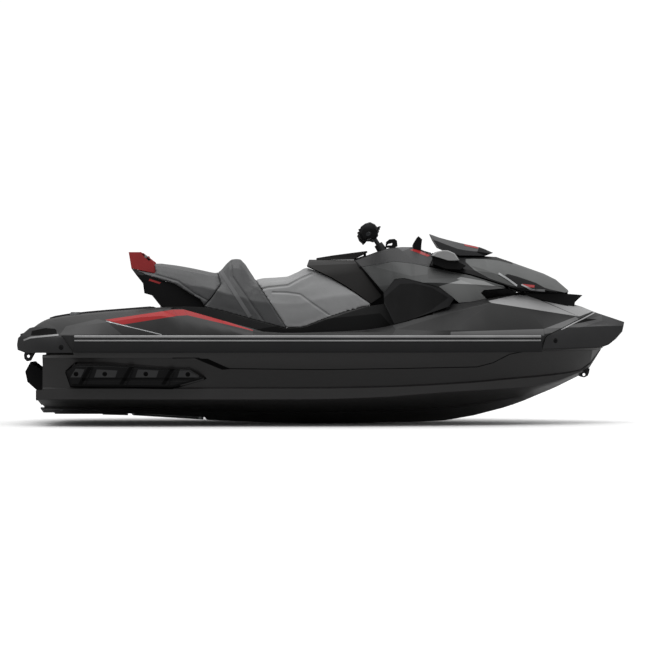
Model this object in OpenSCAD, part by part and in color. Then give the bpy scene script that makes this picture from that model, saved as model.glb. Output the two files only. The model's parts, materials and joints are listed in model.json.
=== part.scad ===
// Three-seat personal watercraft: a decked V hull driven by a water-jet pump.
// +X is forward, +Y is to port and +Z is up. Every height below is measured up
// from the keel line, and the whole craft is lowered by the draft at the end, so
// that the origin lies amidships on the water's surface.

/* [Hull] */
// Overall length, bow bumper to stern bumper
hull_length = 3310; // [2750:10:3980]
// Overall beam over the rub rails
beam = 1255; // [1045:5:1510]
// Height of the gunwale joint above the keel line
sheer_height = 405; // [335:5:490]
// Depth of the hull below the water's surface, afloat and unladen
draft = 240; // [200:5:280]
// Thickness of the rub rail, outwards
rail_thickness = 15; // [8:1:30]

/* [Pump] */
// Bore of the jet pump
pump_bore = 161; // [134:1:194]
// Wall of the pump and nozzle castings
pump_wall = 9; // [6:1:14]
// Height of the pump's axis above the keel line
pump_height = 176; // [165:1:190]
// Outlet bore of the steering nozzle
nozzle_bore = 88; // [70:1:100]
// Number of impeller blades
impeller_blades = 4; // [3:1:5]

/* [Steering] */
// Width over the handlebar grips
bar_width = 770; // [640:5:925]
// Rake of the steering column behind the vertical, in degrees
column_rake = 33; // [25:1:40]
// Diameter of a handlebar grip
grip_diameter = 36; // [30:1:40]

/* [Seat] */
// Width of the front seat where the thighs rest
seat_width = 300; // [250:5:360]

/* [Storage] */
// Width of the storage bin's inside
bin_width = 250; // [205:5:300]
// Wall of the storage bin
bin_wall = 5; // [3:1:8]
// Width of the glove box's inside
glove_width = 168; // [140:4:180]

/* [Fittings] */
// Radius of the hole in the bow and stern towing eyes
eye_hole = 8; // [6.5:0.5:9.5]
// Thickness of a towing eye's lug
eye_thickness = 14; // [8:1:20]
// Radius of the sockets that lock cargo on the stern deck
cargo_socket = 16; // [12:0.5:22]

/* [Hidden] */
$fn = 40;
gap = 0.3;                      // seam between pieces that sit on each other
pin_gap = 0.3;                  // running clearance of a pin in its bore
free = 5;                       // least clearance between pieces that move
kx = hull_length / 3270;        // the outlines below are drawn for this length,
ky = (beam / 2 - rail_thickness) / 612;    // this half-beam inside the rub rail
kz = sheer_height / 400;        // and this sheer height
seat_scale = seat_width / 300 / ky;        // the seats follow their own width, not the beam

// Hull stations: x, keel z, strake y, strake z, chine y, chine's lower z, chine's upper z
hull_table = [
    [-1496, 53, 225, 92, 500, 142, 205],
    [-1280, 49, 231, 90, 513, 142, 205],
    [-900, 39, 239, 85, 531, 142, 205],
    [-560, 16, 240, 73, 533, 142, 205],
    [-50, 0, 237, 64, 527, 143, 205],
    [400, 6, 223, 74, 496, 157, 212],
    [611, 9, 206, 84, 457, 175, 222],
    [781, 31, 186, 100, 414, 184, 230],
    [934, 65, 162, 124, 361, 192, 243],
    [1087, 112, 134, 153, 297, 200, 255],
    [1207, 162, 103, 190, 228, 219, 264],
    [1278, 191, 83, 213, 185, 232, 271],
    [1400, 252, 43, 262, 95, 274, 287],
    [1452, 278, 27, 287, 59, 298, 307],
    [1500, 337, 14, 343, 30, 351, 357],
    [1537, 400, 5, 402, 12, 404, 406]
];

// Gunwale: x, half-breadth, height of the joint between hull and deck
sheer_table = [
    [-1592, 395, 399],
    [-1560, 430, 399],
    [-1525, 464, 399],
    [-1450, 519, 399],
    [-1280, 564, 399],
    [-1060, 587, 399],
    [-830, 601, 399],
    [-500, 610, 399],
    [-200, 612, 400],
    [190, 603, 400],
    [400, 582, 400],
    [545, 561, 400],
    [700, 529, 400],
    [835, 496, 400],
    [930, 466, 401],
    [1063, 412, 404],
    [1202, 345, 408],
    [1366, 247, 413],
    [1505, 149, 416],
    [1592, 76, 417],
    [1636, 36, 417],
    [1667, 12, 417]
];

// Step along the hull's side: x, z
step_table = [
    [-1460, 361],
    [-640, 361],
    [-590, 350],
    [-480, 304],
    [400, 309],
    [867, 318],
    [939, 344],
    [1103, 392],
    [1540, 402]
];

// Deck stations: x, sill y z, outer ridge y z, inner ridge y z, shoulder y z, crown y z, centre z
deck_table = [
    [-1592, 370, 486, 345, 488, 325, 489, 220, 492, 110, 494, 495],
    [-1560, 400, 488, 372, 493, 348, 498, 231, 504, 117, 508, 510],
    [-1518, 443, 495, 403, 513, 380, 520, 256, 532, 128, 543, 548],
    [-1450, 492, 507, 426, 552, 399, 562, 281, 569, 141, 574, 576],
    [-1280, 537, 528, 451, 583, 420, 590, 300, 595, 150, 599, 601],
    [-1070, 551, 557, 467, 601, 430, 608, 300, 614, 154, 617, 619],
    [-835, 566, 585, 508, 617, 456, 624, 293, 630, 201, 633, 635],
    [-725, 572, 570, 536, 619, 498, 625, 230, 634, 205, 636, 637],
    [-604, 582, 546, 548, 587, 512, 591, 226, 630, 200, 632, 634],
    [-480, 592, 523, 556, 551, 520, 555, 222, 597, 200, 600, 601],
    [-343, 598, 502, 562, 515, 526, 518, 221, 558, 198, 562, 564],
    [-258, 600, 492, 565, 495, 530, 497, 220, 537, 195, 541, 543],
    [-144, 600, 491, 565, 493, 530, 495, 218, 511, 195, 514, 515],
    [20, 596, 494, 556, 498, 518, 500, 222, 556, 200, 567, 569],
    [190, 589, 498, 544, 504, 504, 510, 225, 604, 205, 621, 625],
    [334, 573, 500, 520, 521, 480, 530, 235, 637, 215, 649, 651],
    [394, 565, 501, 504, 535, 465, 546, 297, 628, 220, 650, 654],
    [545, 547, 504, 461, 571, 440, 585, 320, 634, 225, 652, 655],
    [702, 519, 508, 408, 602, 380, 616, 301, 643, 201, 656, 658],
    [840, 483, 511, 362, 638, 335, 647, 271, 663, 181, 672, 675],
    [938, 451, 513, 326, 659, 301, 668, 242, 684, 162, 690, 692],
    [1072, 396, 515, 291, 626, 257, 654, 194, 702, 125, 707, 708],
    [1210, 328, 519, 241, 592, 212, 615, 153, 666, 94, 676, 679],
    [1372, 233, 524, 173, 553, 151, 575, 103, 631, 53, 654, 657],
    [1508, 136, 530, 108, 540, 91, 560, 62, 587, 31, 604, 606],
    [1593, 66, 532, 55, 540, 45, 548, 31, 561, 15, 576, 578],
    [1637, 30, 532, 26, 538, 22, 544, 15, 552, 8, 562, 563],
    [1667, 10, 532, 9, 536, 7, 541, 5, 547, 3, 552, 553]
];

// Body above the deck: x, foot y, waist y z, shoulder y z, rim y z, centre z
console_table = [
    [190, 150, 168, 730, 152, 840, 108, 884, 890],
    [254, 180, 200, 736, 166, 848, 116, 905, 914],
    [334, 212, 230, 745, 190, 858, 120, 930, 942],
    [420, 250, 272, 755, 220, 868, 124, 950, 962],
    [512, 274, 302, 762, 244, 868, 128, 934, 962],
    [609, 280, 312, 763, 252, 858, 132, 912, 930],
    [721, 268, 304, 758, 252, 842, 136, 900, 914],
    [860, 240, 288, 752, 248, 826, 140, 895, 913],
    [961, 220, 272, 744, 238, 812, 136, 886, 909],
    [1049, 196, 252, 738, 222, 794, 128, 864, 880],
    [1133, 168, 228, 732, 200, 772, 116, 834, 850],
    [1216, 138, 198, 724, 172, 750, 100, 806, 821],
    [1274, 112, 170, 716, 146, 736, 84, 782, 797],
    [1319, 90, 142, 710, 120, 724, 68, 750, 763],
    [1357, 60, 104, 702, 84, 712, 46, 720, 729]
];

// Seats: x, waist y z, shoulder y z, centre z
seat_table = [
    [-1030, 138, 812, 100, 846, 856],
    [-900, 158, 800, 122, 858, 876],
    [-700, 174, 752, 134, 826, 846],
    [-560, 182, 728, 134, 802, 822],
    [-532, 184, 716, 126, 806, 838],
    [-483, 184, 700, 112, 864, 895],
    [-436, 184, 690, 112, 868, 900],
    [-410, 184, 684, 116, 846, 880],
    [-347, 184, 664, 142, 764, 786],
    [-165, 183, 648, 146, 776, 796],
    [-101, 182, 650, 134, 800, 827],
    [-66, 181, 660, 122, 836, 866],
    [80, 178, 690, 116, 850, 882],
    [200, 176, 700, 112, 850, 886],
    [300, 174, 706, 110, 850, 886]
];

// Outlines in side view, forward and up from the keel line amidships
front_seat_line = [[-347, 786], [-165, 900], [-100, 900], [-69, 900], [-69, 850], [-10, 826],
    [69, 788], [140, 746], [196, 710], [278, 650], [278, 600], [100, 500], [-161, 500]];
bolster_line = [[-551, 830], [-540, 950], [-400, 950], [-347, 786], [-161, 500], [-351, 500],
    [-619, 560], [-619, 638], [-577, 684], [-530, 756]];
rear_seat_line = [[-897, 880], [-700, 950], [-553, 830], [-530, 756], [-582, 682], [-620, 640],
    [-641, 672], [-695, 704], [-782, 758], [-859, 780], [-929, 804], [-1017, 843], [-883, 815]];
rear_base_line = [[-1017, 843], [-929, 804], [-859, 780], [-782, 758], [-695, 704], [-641, 672],
    [-620, 640], [-616, 600], [-857, 600], [-857, 640], [-902, 696], [-944, 708], [-951, 761]];
grab_line = [[-1032, 932], [-965, 932], [-897, 880], [-883, 815], [-1017, 843]];
housing_line = [[-54, 891], [190, 889], [340, 693], [279, 652], [196, 713], [140, 750], [69, 792],
    [-10, 830], [-66, 856]];
glove_pocket_line = [[-20, 1000], [-20, 852], [70, 808], [140, 768], [172, 768], [172, 1000]];
glove_lid_line = [[-16, 895], [-12, 900], [80, 915], [258, 938], [264, 933], [190, 895]];
cover_line = [[193, 889], [232, 850], [300, 863], [409, 879], [500, 868], [590, 849], [612, 894],
    [604, 1000], [193, 1000]];
side_panel_line = [[232, 848], [300, 862], [408, 878], [500, 867], [589, 848], [718, 821],
    [809, 802], [990, 746], [1002, 734], [884, 724], [868, 708], [906, 671], [751, 655], [713, 688],
    [649, 736], [540, 767], [456, 788], [407, 783], [349, 710]];
pod_line = [[345, 706], [407, 780], [455, 785], [540, 764], [647, 733], [711, 685], [719, 675],
    [690, 634], [401, 537], [347, 650]];
hood_line = [[616, 1000], [615, 894], [594, 853], [719, 827], [811, 809], [993, 753],
    [1070, 723], [1100, 717], [1348, 716], [1400, 1000]];
hood_panel_line = [[791, 884], [800, 920], [800, 1000], [1400, 1000], [1360, 716], [1330, 712],
    [1247, 728], [1217, 737], [1169, 763], [1066, 798], [1015, 811], [999, 804], [1026, 777],
    [1066, 742], [1015, 752], [911, 788], [835, 830], [791, 876]];
cowl_line = [[601, 1034], [661, 1012], [770, 984], [879, 960], [950, 930], [903, 912],
    [819, 913], [760, 913], [645, 960], [620, 999]];
mirror_line = [[599, 905], [620, 926], [660, 936], [690, 935], [727, 919], [750, 884],
    [748, 876], [690, 877], [640, 894]];
mirror_foot_line = [[606, 903], [640, 894], [690, 877], [748, 876], [788, 853], [756, 831],
    [676, 837], [610, 862]];
nose_line = [[1183, 395], [1206, 469], [1216, 482], [1322, 531], [1421, 576], [1504, 616],
    [1560, 640], [1720, 640], [1720, 395]];
bumper_line = [[1185, 400], [1208, 467], [1218, 479], [1323, 528], [1422, 573], [1505, 613],
    [1560, 637], [1690, 600], [1667, 556], [1653, 501], [1614, 461], [1571, 430], [1536, 418],
    [1520, 400]];
stern_corner = [[-1603, 431], [-1596, 468], [-1531, 521], [-1492, 529], [-1389, 519],
    [-1337, 463], [-1289, 391], [-1551, 389], [-1599, 404]];
stern_pocket = [[-1620, 380], [-1620, 560], [-1531, 521], [-1492, 529], [-1389, 519],
    [-1337, 463], [-1289, 391], [-1284, 380]];
sponson_line = [[-1323, 291], [-1274, 330], [-1070, 328], [-801, 306], [-682, 305], [-601, 257],
    [-770, 210], [-1300, 218]];
splitter_line = [[1104, 702], [1205, 672], [1350, 640], [1385, 640], [1392, 662], [1439, 700],
    [1342, 706], [1104, 706]];
display_line = [[514, 930], [512, 974], [540, 1019], [560, 1001], [556, 972], [554, 930]];
hoop_line = [[362, 958], [366, 990], [384, 1004], [412, 1006], [425, 996], [428, 966], [412, 958]];
hoop_hole = [[370, 970], [378, 979], [401, 984], [398, 971]];

// Pump, engine and storage
shaft_radius = 16;
tail_shaft = 10;                // impeller's stub in the stator's bearing
pivot_pin = 6;
pump_length = 150;
anchor_x = -1296 * kx;
anchor_y = 356;
anchor_z = 562;
anchor_rim = 14;
anchor_floor = 14;
tow_line = [[-1608, 352], [-1611, 372], [-1603, 399], [-1540, 399], [-1558, 368], [-1572, 342],
    [-1594, 338]];
tow_eye = [-1586, 366];
bow_eye_line = [[1412, 300], [1404, 276], [1420, 257], [1446, 250], [1466, 259], [1474, 276],
    [1478, 300]];
bow_hole = [1446, 266];
transom_line = [[-1455, 700], [-1455, 193], [-1490, 193], [-1490, 138], [-1482, 138],
    [-1482, 110], [-1474, 110], [-1474, 20], [-1700, 20], [-1700, 700]];
housing_half = [[186, 600], [178, 700], [152, 826], [124, 876], [100, 892], [60, 900]];
core_line = [[190, 889], [232, 850], [300, 863], [409, 879], [500, 868], [590, 849], [718, 820],
    [809, 801], [990, 745], [1066, 716], [1066, 600], [279, 600], [279, 652], [340, 693]];
core_skirt = [[352, 706], [409, 774], [454, 779], [538, 759], [645, 728], [708, 681], [714, 600],
    [350, 600]];
scoop_line = [[909, 672], [873, 708], [886, 721], [1003, 731], [1066, 710], [1066, 600], [720, 600],
    [755, 652]];
cowl_table = [
    [596, 62, 1008, 1036],
    [661, 100, 984, 1013],
    [770, 122, 944, 985],
    [879, 96, 932, 961],
    [960, 22, 919, 926]
];
pump_front = -1180 * kx;        // wall that carries the pump
recess_half = 190;              // half-width of the recess round the pump
recess_top = 442;
pump_flange = 30;               // width of the pump's mounting flange
venturi_flange = 25;            // width of the flange between pump and venturi
bracket_y = pump_bore / 2 + venturi_flange + 3.5;      // inner faces of the gate's brackets
bracket_wall = 9;
gate_half = bracket_y + bracket_wall + free + bracket_wall; // half-width of the reverse gate
plate_end = -1500 * kx;         // aft end of the ride plate
plate_thickness = 9;
plate_top = pump_height - pump_bore / 2 - pump_flange - free;
plate_rise = 35;                // the plate's V follows the hull's bottom
bay = [[-430, 82], [310, 82], [310, 490], [-430, 490]];
bay_half = 184;
bin_line = [[800, 470], [1150, 470], [1150, 900], [800, 900]];
bin_half = bin_width / 2 + bin_wall + gap;
core_half = bin_half + 20;      // the console's core reaches past the bin
pod_inner = 236;                // half-breadth of the knee pods' inner faces
engine_x = bay[0][0] * kx + 41; // aft face of the flywheel
engine_foot = bay[0][1] * kz;   // floor of the engine bay
sponson_inner = 536 * ky;
sponson_depth = 38;
foot_line = [[-790, 700], [-735, 290], [500, 290], [604, 520], [604, 720], [330, 720], [330, 1000],
             [-790, 1000]];
foot_inner = 0.64 * seat_width + 22;       // footwells begin beside the seat
foot_wall = 74;                 // thickness of the bulwark at its foot
ridge_wall = 12;                // least distance of a footwell from the deck's ridge
foot_floor = foot_line[1][1] * kz;
mat_thickness = 6;
stern_inner = 330;              // inner side of the stern bumpers' pockets
boot_radius = 30;
stem_radius = 12;
mirror_inner = 222;             // inner face of a mirror's body
mirror_outer = 300;
lid_hinge = [1350, 722];        // front lid's hinge, amidships
glove_hinge = [250, 932];       // glove-box lid's hinge
pivot_x = pump_front - 238;     // steering and trim pivots of the nozzle
gate_x = pump_front - 220;      // pivots of the reverse gate
gate_z = pump_height + 38;
column_x = 344 * kx;            // where the steering column leaves the console
column_z = 944 * kz;
bar_rise = 110;                 // handlebar above that point, along the column
bar_radius = 11;

function rise(t, k, i) = (t[i + 1][k] - t[i][k]) / (t[i + 1][0] - t[i][0]);
function slope(t, k, i) =
    i == 0 ? rise(t, k, 0)
    : i == len(t) - 1 ? rise(t, k, i - 1)
    : let (a = rise(t, k, i - 1), b = rise(t, k, i)) a * b <= 0 ? 0 : 2 * a * b / (a + b);
function span(x, t, i = 0) = i >= len(t) - 2 || x < t[i + 1][0] ? i : span(x, t, i + 1);

// A fair curve without overshoot through column k of table t
function fair(x, t, k) =
    let (i = span(x, t), h = t[i + 1][0] - t[i][0], u = max(0, min(1, (x - t[i][0]) / h)))
    t[i][k] * (1 + 2 * u) * (1 - u) * (1 - u) + slope(t, k, i) * h * u * (1 - u) * (1 - u)
    + t[i + 1][k] * u * u * (3 - 2 * u) + slope(t, k, i + 1) * h * u * u * (u - 1);
function row(x, t) = [for (k = [0 : len(t[0]) - 1]) k == 0 ? x : fair(x, t, k)];

// A half section, from its foot on the centreline to its top there, as a full ring at x
function ring(x, half) = [
    for (p = half) [x * kx, p[0] * ky, p[1] * kz],
    for (i = [len(half) - 2 : -1 : 1]) [x * kx, -half[i][0] * ky, half[i][1] * kz]
];
function blend(a, b, t) = a + (b - a) * t;
function stations(from, to, step) =
    let (n = ceil((to - from) / step)) [for (i = [0 : n]) from + (to - from) * i / n];

function hull_half(x) =
    let (v = row(x, hull_table), s = row(x, sheer_table),
         z = min(max(fair(x, step_table, 1), v[6] + 3), s[2] - 7),
         t = (z - v[6]) / (s[2] - v[6]), f = max(0, min(1, (1150 - x) / 200)), y = v[4] - 1,
         e = min(1, (v[6] - v[5]) / 30))
    [
        [0, v[1]], [v[2], v[3] - 5 * f], [v[2] * 1.04, v[3] + 5 * f + 0.3],
        [v[4] - 2, v[5]], [v[4] + 5 * e, v[5] + 4 * e], [v[4] + 7 * e, v[6] - 3 * e], [y, v[6] + 1],
        [blend(y, s[1], t) + 2, z - 6 * f - 1], [blend(y, s[1], t) + 2 + 9 * f, z + 3 * f + 1],
        [s[1], s[2] - 1 - 7 * e], [s[1], s[2]], [0, s[2] + 0.5]
    ];
function deck_half(x) =
    let (v = row(x, deck_table), s = row(x, sheer_table))
    [
        [0, s[2] + gap + 0.6], [s[1], s[2] + gap + 1.1], [s[1], 482], [v[1], v[2]],
        [v[3], v[4]], [v[5], v[6]], [v[7], v[8]], [v[9], v[10]], [0, v[11]]
    ];
function console_half(x) =
    let (v = row(x, console_table), foot = fair(x, deck_table, 11) - 20)
    [
        [0, foot], [v[1], foot + 0.5], [v[2], v[3]], [v[4], v[5]], [v[6], v[7]],
        [v[6] * 0.5, v[8] - 0.25 * (v[8] - v[7])], [0, v[8]]
    ];
function seat_half(x) =
    let (v = row(x, seat_table), foot = fair(x, deck_table, 11) - 20, k = seat_scale)
    [
        [0, foot], [(x < -800 ? v[1] - 12 : 192) * k, foot + 0.5], [v[1] * k, v[2]],
        [(v[3] + 14) * k, v[4] - 22], [v[3] * k, v[4]], [v[3] * 0.6 * k, v[5] - 4], [0, v[5]]
    ];

// One rung of the ladder of triangles that closes a symmetric ring of n points
function rung(j, n) =
    j == 0 ? [[0, 1, n - 1]]
    : j == n / 2 - 1 ? [[j, j + 1, n - j]]
    : [[j, n - j - 1, n - j], [j, j + 1, n - j - 1]];

// A closed skin over rings with the same number of points, each running anticlockwise
// about the way from the first ring to the last; ladder says that they are symmetric
// sections, otherwise they are convex and close with a fan
module skin(rings, ladder = false) {
    n = len(rings[0]);
    last = (len(rings) - 1) * n;
    walls = [
        for (i = [0 : len(rings) - 2], j = [0 : n - 1])
            let (a = i * n + j, b = i * n + (j + 1) % n)
            each [[a, b + n, b], [a, a + n, b + n]]
    ];
    start = ladder ? [for (j = [0 : n / 2 - 1]) each rung(j, n)] : [for (j = [1 : n - 2]) [0, j, j + 1]];
    end = [for (f = start) [f[2] + last, f[1] + last, f[0] + last]];
    polyhedron([for (r = rings) each r], concat(walls, start, end), convexity = 8);
}

// An outline with every edge moved outwards by d
function unit(v) = v / norm(v);
function turned(p) =
    let (n = len(p), s = [for (i = [0 : n - 1]) cross(p[i], p[(i + 1) % n])])
    s * [for (i = s) 1] > 0 ? 1 : -1;
function grown(p, d) =
    let (n = len(p), s = turned(p))
    [
        for (i = [0 : n - 1])
            let (u = unit(p[i] - p[(i + n - 1) % n]), v = unit(p[(i + 1) % n] - p[i]),
                 a = s * [u[1], -u[0]], b = s * [v[1], -v[0]])
            p[i] + d * (a + b) / max(0.5, 1 + a * b)
    ];

module hull_form() {
    skin([for (x = concat(stations(-1496, 1000, 156), stations(1060, 1537, 60))) ring(x, hull_half(x))],
         true);
}
module deck_form() {
    skin([for (x = concat(stations(-1592, -1450, 47), stations(-1360, 350, 107),
                          stations(420, 1667, 78))) ring(x, deck_half(x))], true);
}
module console_form() {
    skin([for (x = stations(190, 1357, 65)) ring(x, console_half(x))], true);
}
module above_deck() {
    difference() {
        children();
        translate([0, 0, gap]) deck_form();
    }
}
module seat_form() {
    skin([for (x = concat(stations(-1030, -600, 86), stations(-560, -347, 30), stations(-300, 290, 66)))
          ring(x, seat_half(x))], true);
}

// A prism across the boat from an outline in side view, grown by a margin; with an
// inner half-breadth it leaves the middle free
module across(outline, inner = 0, outer = 900, grow = 0) {
    if (inner == 0)
        rotate([90, 0, 0]) linear_extrude(2 * outer, center = true) side_shape(outline, grow);
    else
        for (side = [-1, 1])
            translate([0, side * (inner + outer) / 2, 0])
                rotate([90, 0, 0]) linear_extrude(outer - inner, center = true)
                    side_shape(outline, grow);
}
module side_shape(outline, grow) {
    polygon(grown([for (p = outline) [p[0] * kx, p[1] * kz]], grow));
}

module rod(a, b, r) {
    v = b - a;
    length = norm(v);
    translate(a) rotate([0, acos(v[2] / length), atan2(v[1], v[0])]) cylinder(r = r, h = length);
}
module both_sides() {
    children();
    mirror([0, 1, 0]) children();
}

// ================================ solids
module afloat() {
    translate([0, 0, -draft]) children();
}

module footwell_plan(inset = 0) {
    xs = stations(-800 + inset, 640, 120);
    for (side = [-1, 1])
        polygon([
            for (x = xs)
                [x * kx, side * (min(fair(x, sheer_table, 1) - foot_wall,
                                     fair(x, deck_table, 3) - ridge_wall) * ky - inset)],
            [640 * kx, side * (foot_inner + inset)], [(-800 + inset) * kx, side * (foot_inner + inset)]
        ]);
}
module footwell() {
    intersection() {
        translate([0, 0, 200]) linear_extrude(700) footwell_plan();
        across(foot_line);
    }
}
module intake() {
    across([[-1130, 95], [-1130, 255], [-1000, 240], [-640, 90], [-600, -20], [-1010, -20],
            [-1050, 60]], 0, pump_bore / 2);
    translate([pump_front - 5, 0, pump_height]) rotate([0, 90, 0]) cylinder(d = pump_bore, h = 100);
    translate([-1000 * kx, 0, pump_height]) rotate([0, 90, 0]) cylinder(r = shaft_radius + 4, h = 620 * kx);
}

module hull() color([0.10, 0.10, 0.11]) afloat() difference() {
    hull_form();
    across(transom_line);
    translate([-1700 * kx, -recess_half, 20]) cube([pump_front + 1700 * kx, 2 * recess_half, 500]);
    intake();
    across(bay, 0, bay_half);
    footwell();
    across(sponson_line, sponson_inner, 900, gap);
    across(stern_pocket, stern_inner, 900);
    across(bow_eye_line, 0, eye_thickness / 2 + gap, gap);
}

module deck() color([0.17, 0.17, 0.18]) afloat() difference() {
    deck_form();
    footwell();
    across(bay, 0, bay_half);
    translate([-1566 * kx, -recess_half, 300])
        cube([pump_front + 1566 * kx, 2 * recess_half, recess_top - 300]);
    across(bin_line, 0, bin_half);
    across(nose_line);
    across(stern_pocket, stern_inner, 900);
    both_sides() translate([anchor_x, anchor_y, anchor_z - gap])
        cylinder(r = cargo_socket + anchor_rim + gap, h = 100);
}

module rub_rails() color([0.06, 0.06, 0.07]) afloat() {
    xs = stations(-1282, 1181, 56);
    both_sides() skin([for (x = xs) rail_ring(x)]);
}
function rail_ring(x) =
    let (b = fair(x, sheer_table, 1) * ky, t = rail_thickness,
         d = (fair(x + 5, sheer_table, 1) - fair(x - 5, sheer_table, 1)) / 10, c = sqrt(1 + d * d))
    [for (p = [[2 * gap, 392], [t - 4, 393], [t, 404], [t, 470], [t - 4, 482], [2 * gap, 484]])
        [x * kx - d / c * p[0], b + p[0] / c, p[1] * kz]];

module bow_bumper() color([0.08, 0.08, 0.09]) afloat() intersection() {
    scale([1, 1 + rail_thickness / 400, 1])
        skin([for (x = stations(1150, 1667, 52)) ring(x, deck_half(x))], true);
    across(bumper_line);
}

module stern_bumpers() color([0.07, 0.07, 0.08]) afloat() both_sides() intersection() {
    skin([for (x = stations(-1603, -1288, 45)) corner_ring(x)]);
    across(stern_corner, stern_inner + gap, 900, -gap / 2);
}
function corner_ring(x) =
    let (b = (x < -1560 ? 430 - (-1560 - x) * 1.2 : fair(x, sheer_table, 1)) * ky + rail_thickness - 2)
    [for (p = [[320, 380], [b - 8, 380], [b, 412], [b, 468], [b - 6, 480], [b - 60, 552], [320, 560]])
        [x * kx, p[0], p[1] * kz]];

module sponsons() color([0.06, 0.06, 0.07]) afloat() difference() {
    face = sponson_inner + sponson_depth;
    union() {
        across(sponson_line, sponson_inner + gap, face);
        across(sponson_line, face, face + 16, -9);
        intersection() {
            across(sponson_line, face + 6, face + 24, -9);
            for (x = [-1225, -1010, -790])
                across([[x - 38, 200], [x - 8, 200], [x + 52, 340], [x + 22, 340]]);
        }
    }
    across([[-1240, 243], [-1240, 259], [-650, 259], [-650, 243]], face + 10, 900);
}

module deck_mats() color([0.12, 0.12, 0.13]) afloat() {
    intersection() {
        translate([0, 0, foot_floor + gap]) linear_extrude(mat_thickness) footwell_plan(12);
        translate([-716 * kx, -900, 0]) cube([1206 * kx, 1800, 500]);
    }
    difference() {
        intersection() {
            translate([0, 0, mat_thickness]) deck_form();
            translate([-1440 * kx, -282, 400]) cube([535 * kx, 564, 500]);
        }
        translate([0, 0, gap]) deck_form();
    }
}

module cargo_anchors() color([0.55, 0.56, 0.58]) afloat() both_sides()
    translate([anchor_x, anchor_y, anchor_z]) difference() {
        union() {
            cylinder(r = cargo_socket + anchor_rim, h = 46);
            translate([0, 0, 44]) cylinder(r = cargo_socket + anchor_rim - 5, h = 7);
        }
        translate([0, 0, anchor_floor]) cylinder(r = cargo_socket, h = 60);
    }

module stern_tow_eye() color([0.08, 0.08, 0.09]) afloat() difference() {
    across(tow_line, 0, eye_thickness / 2);
    translate([tow_eye[0] * kx, 0, tow_eye[1] * kz]) rotate([90, 0, 0])
        cylinder(r = eye_hole, h = 100, center = true);
}
module bow_eye() color([0.08, 0.08, 0.09]) afloat() difference() {
    across(bow_eye_line, 0, eye_thickness / 2);
    translate([bow_hole[0] * kx, 0, bow_hole[1] * kz]) rotate([90, 0, 0])
        cylinder(r = eye_hole, h = 100, center = true);
}

// ---- seats
module seat_part(outline) {
    above_deck() intersection() {
        seat_form();
        across(outline, 0, 900, -gap / 2);
    }
}
module front_seat() color([0.72, 0.73, 0.74]) afloat() seat_part(front_seat_line);
module seat_bolster() color([0.36, 0.37, 0.39]) afloat() seat_part(bolster_line);
module rear_seat() color([0.36, 0.37, 0.39]) afloat() seat_part(rear_seat_line);
module rear_seat_base() color([0.05, 0.05, 0.06]) afloat() intersection() {
    seat_part(rear_base_line);
    translate([-2000, -150, 0]) cube([4000, 300, 2000]);
}
module grab_handle() color([0.70, 0.05, 0.06]) afloat() difference() {
    across(grab_line, 0, 104, -gap / 2);
    across([[-1008, 960], [-1004, 861], [-800, 830], [-800, 960]], 0, 78);
}

// ---- glove box and its lid
module housing_section() {
    translate([-90 * kx, 0, 0]) rotate([90, 0, 90]) linear_extrude(450 * kx)
        polygon([for (s = [1, -1], p = s > 0 ? housing_half : [for (i = [len(housing_half) - 1 : -1 : 0])
            housing_half[i]]) [s * p[0] * ky, p[1] * kz]]);
}
module glove_box_housing() color([0.13, 0.12, 0.12]) afloat() difference() {
    intersection() {
        housing_section();
        across(housing_line, 0, 900, -gap / 2);
    }
    across(glove_pocket_line, 0, glove_width / 2);
}
module glove_box_lid() color([0.14, 0.13, 0.13]) afloat() {
    difference() {
        across(glove_lid_line, 0, glove_width / 2 + 16);
        hinge_slot(glove_hinge);
    }
    hinge_pin(glove_hinge);
}

// A lid turns on a pin across a slot in its edge; a lug on what carries it fills the slot
pin_radius = 3;
lug_half = 10;
slot_half = lug_half + free;
module at_hinge(p) {
    translate([p[0] * kx, 0, p[1] * kz]) rotate([90, 0, 0]) children();
}
module hinge_pin(p) {
    at_hinge(p) cylinder(r = pin_radius, h = 2 * slot_half + 12, center = true);
}
module hinge_slot(p) {
    at_hinge(p) translate([-pin_radius - 4 - free, -60, -slot_half]) cube([100, 120, 2 * slot_half]);
}
module hinge_lug(p, drop) {
    at_hinge(p) difference() {
        union() {
            cylinder(r = pin_radius + 4, h = 2 * lug_half, center = true);
            translate([-pin_radius - 4, -drop, -lug_half]) cube([2 * pin_radius + 8, drop, 2 * lug_half]);
        }
        cylinder(r = pin_radius + pin_gap, h = 100, center = true);
    }
}

// ---- console
module console_core() color([0.05, 0.05, 0.06]) afloat() difference() {
    above_deck() intersection() {
        console_form();
        union() {
            across(core_line, 0, core_half, -gap / 2);
            across(core_skirt, 0, pod_inner * ky - free);
            across(scoop_line);
        }
    }
    across([[790, 600], [790, 900], [1200, 900], [1200, 600]], 0, bin_half);
}
module side_panels() color([0.62, 0.63, 0.65]) afloat() above_deck() intersection() {
    console_form();
    across(side_panel_line, core_half + 2, 900, -gap / 2);
}

function pod_ring(x) =
    let (v = row(x, deck_table))
    [for (p = [[pod_inner, 680], [v[5], v[6] + 5], [v[3] - 8, v[4] + 6], [312, 795], [290, 830],
               [pod_inner, 830]])
        [x * kx, p[0] * ky, p[1] * kz]];
module knee_pods() color([0.04, 0.04, 0.05]) afloat() above_deck() intersection() {
    both_sides() skin([for (x = stations(343, 721, 54)) pod_ring(x)]);
    across(pod_line, 0, 900, -gap / 2);
}

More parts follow.
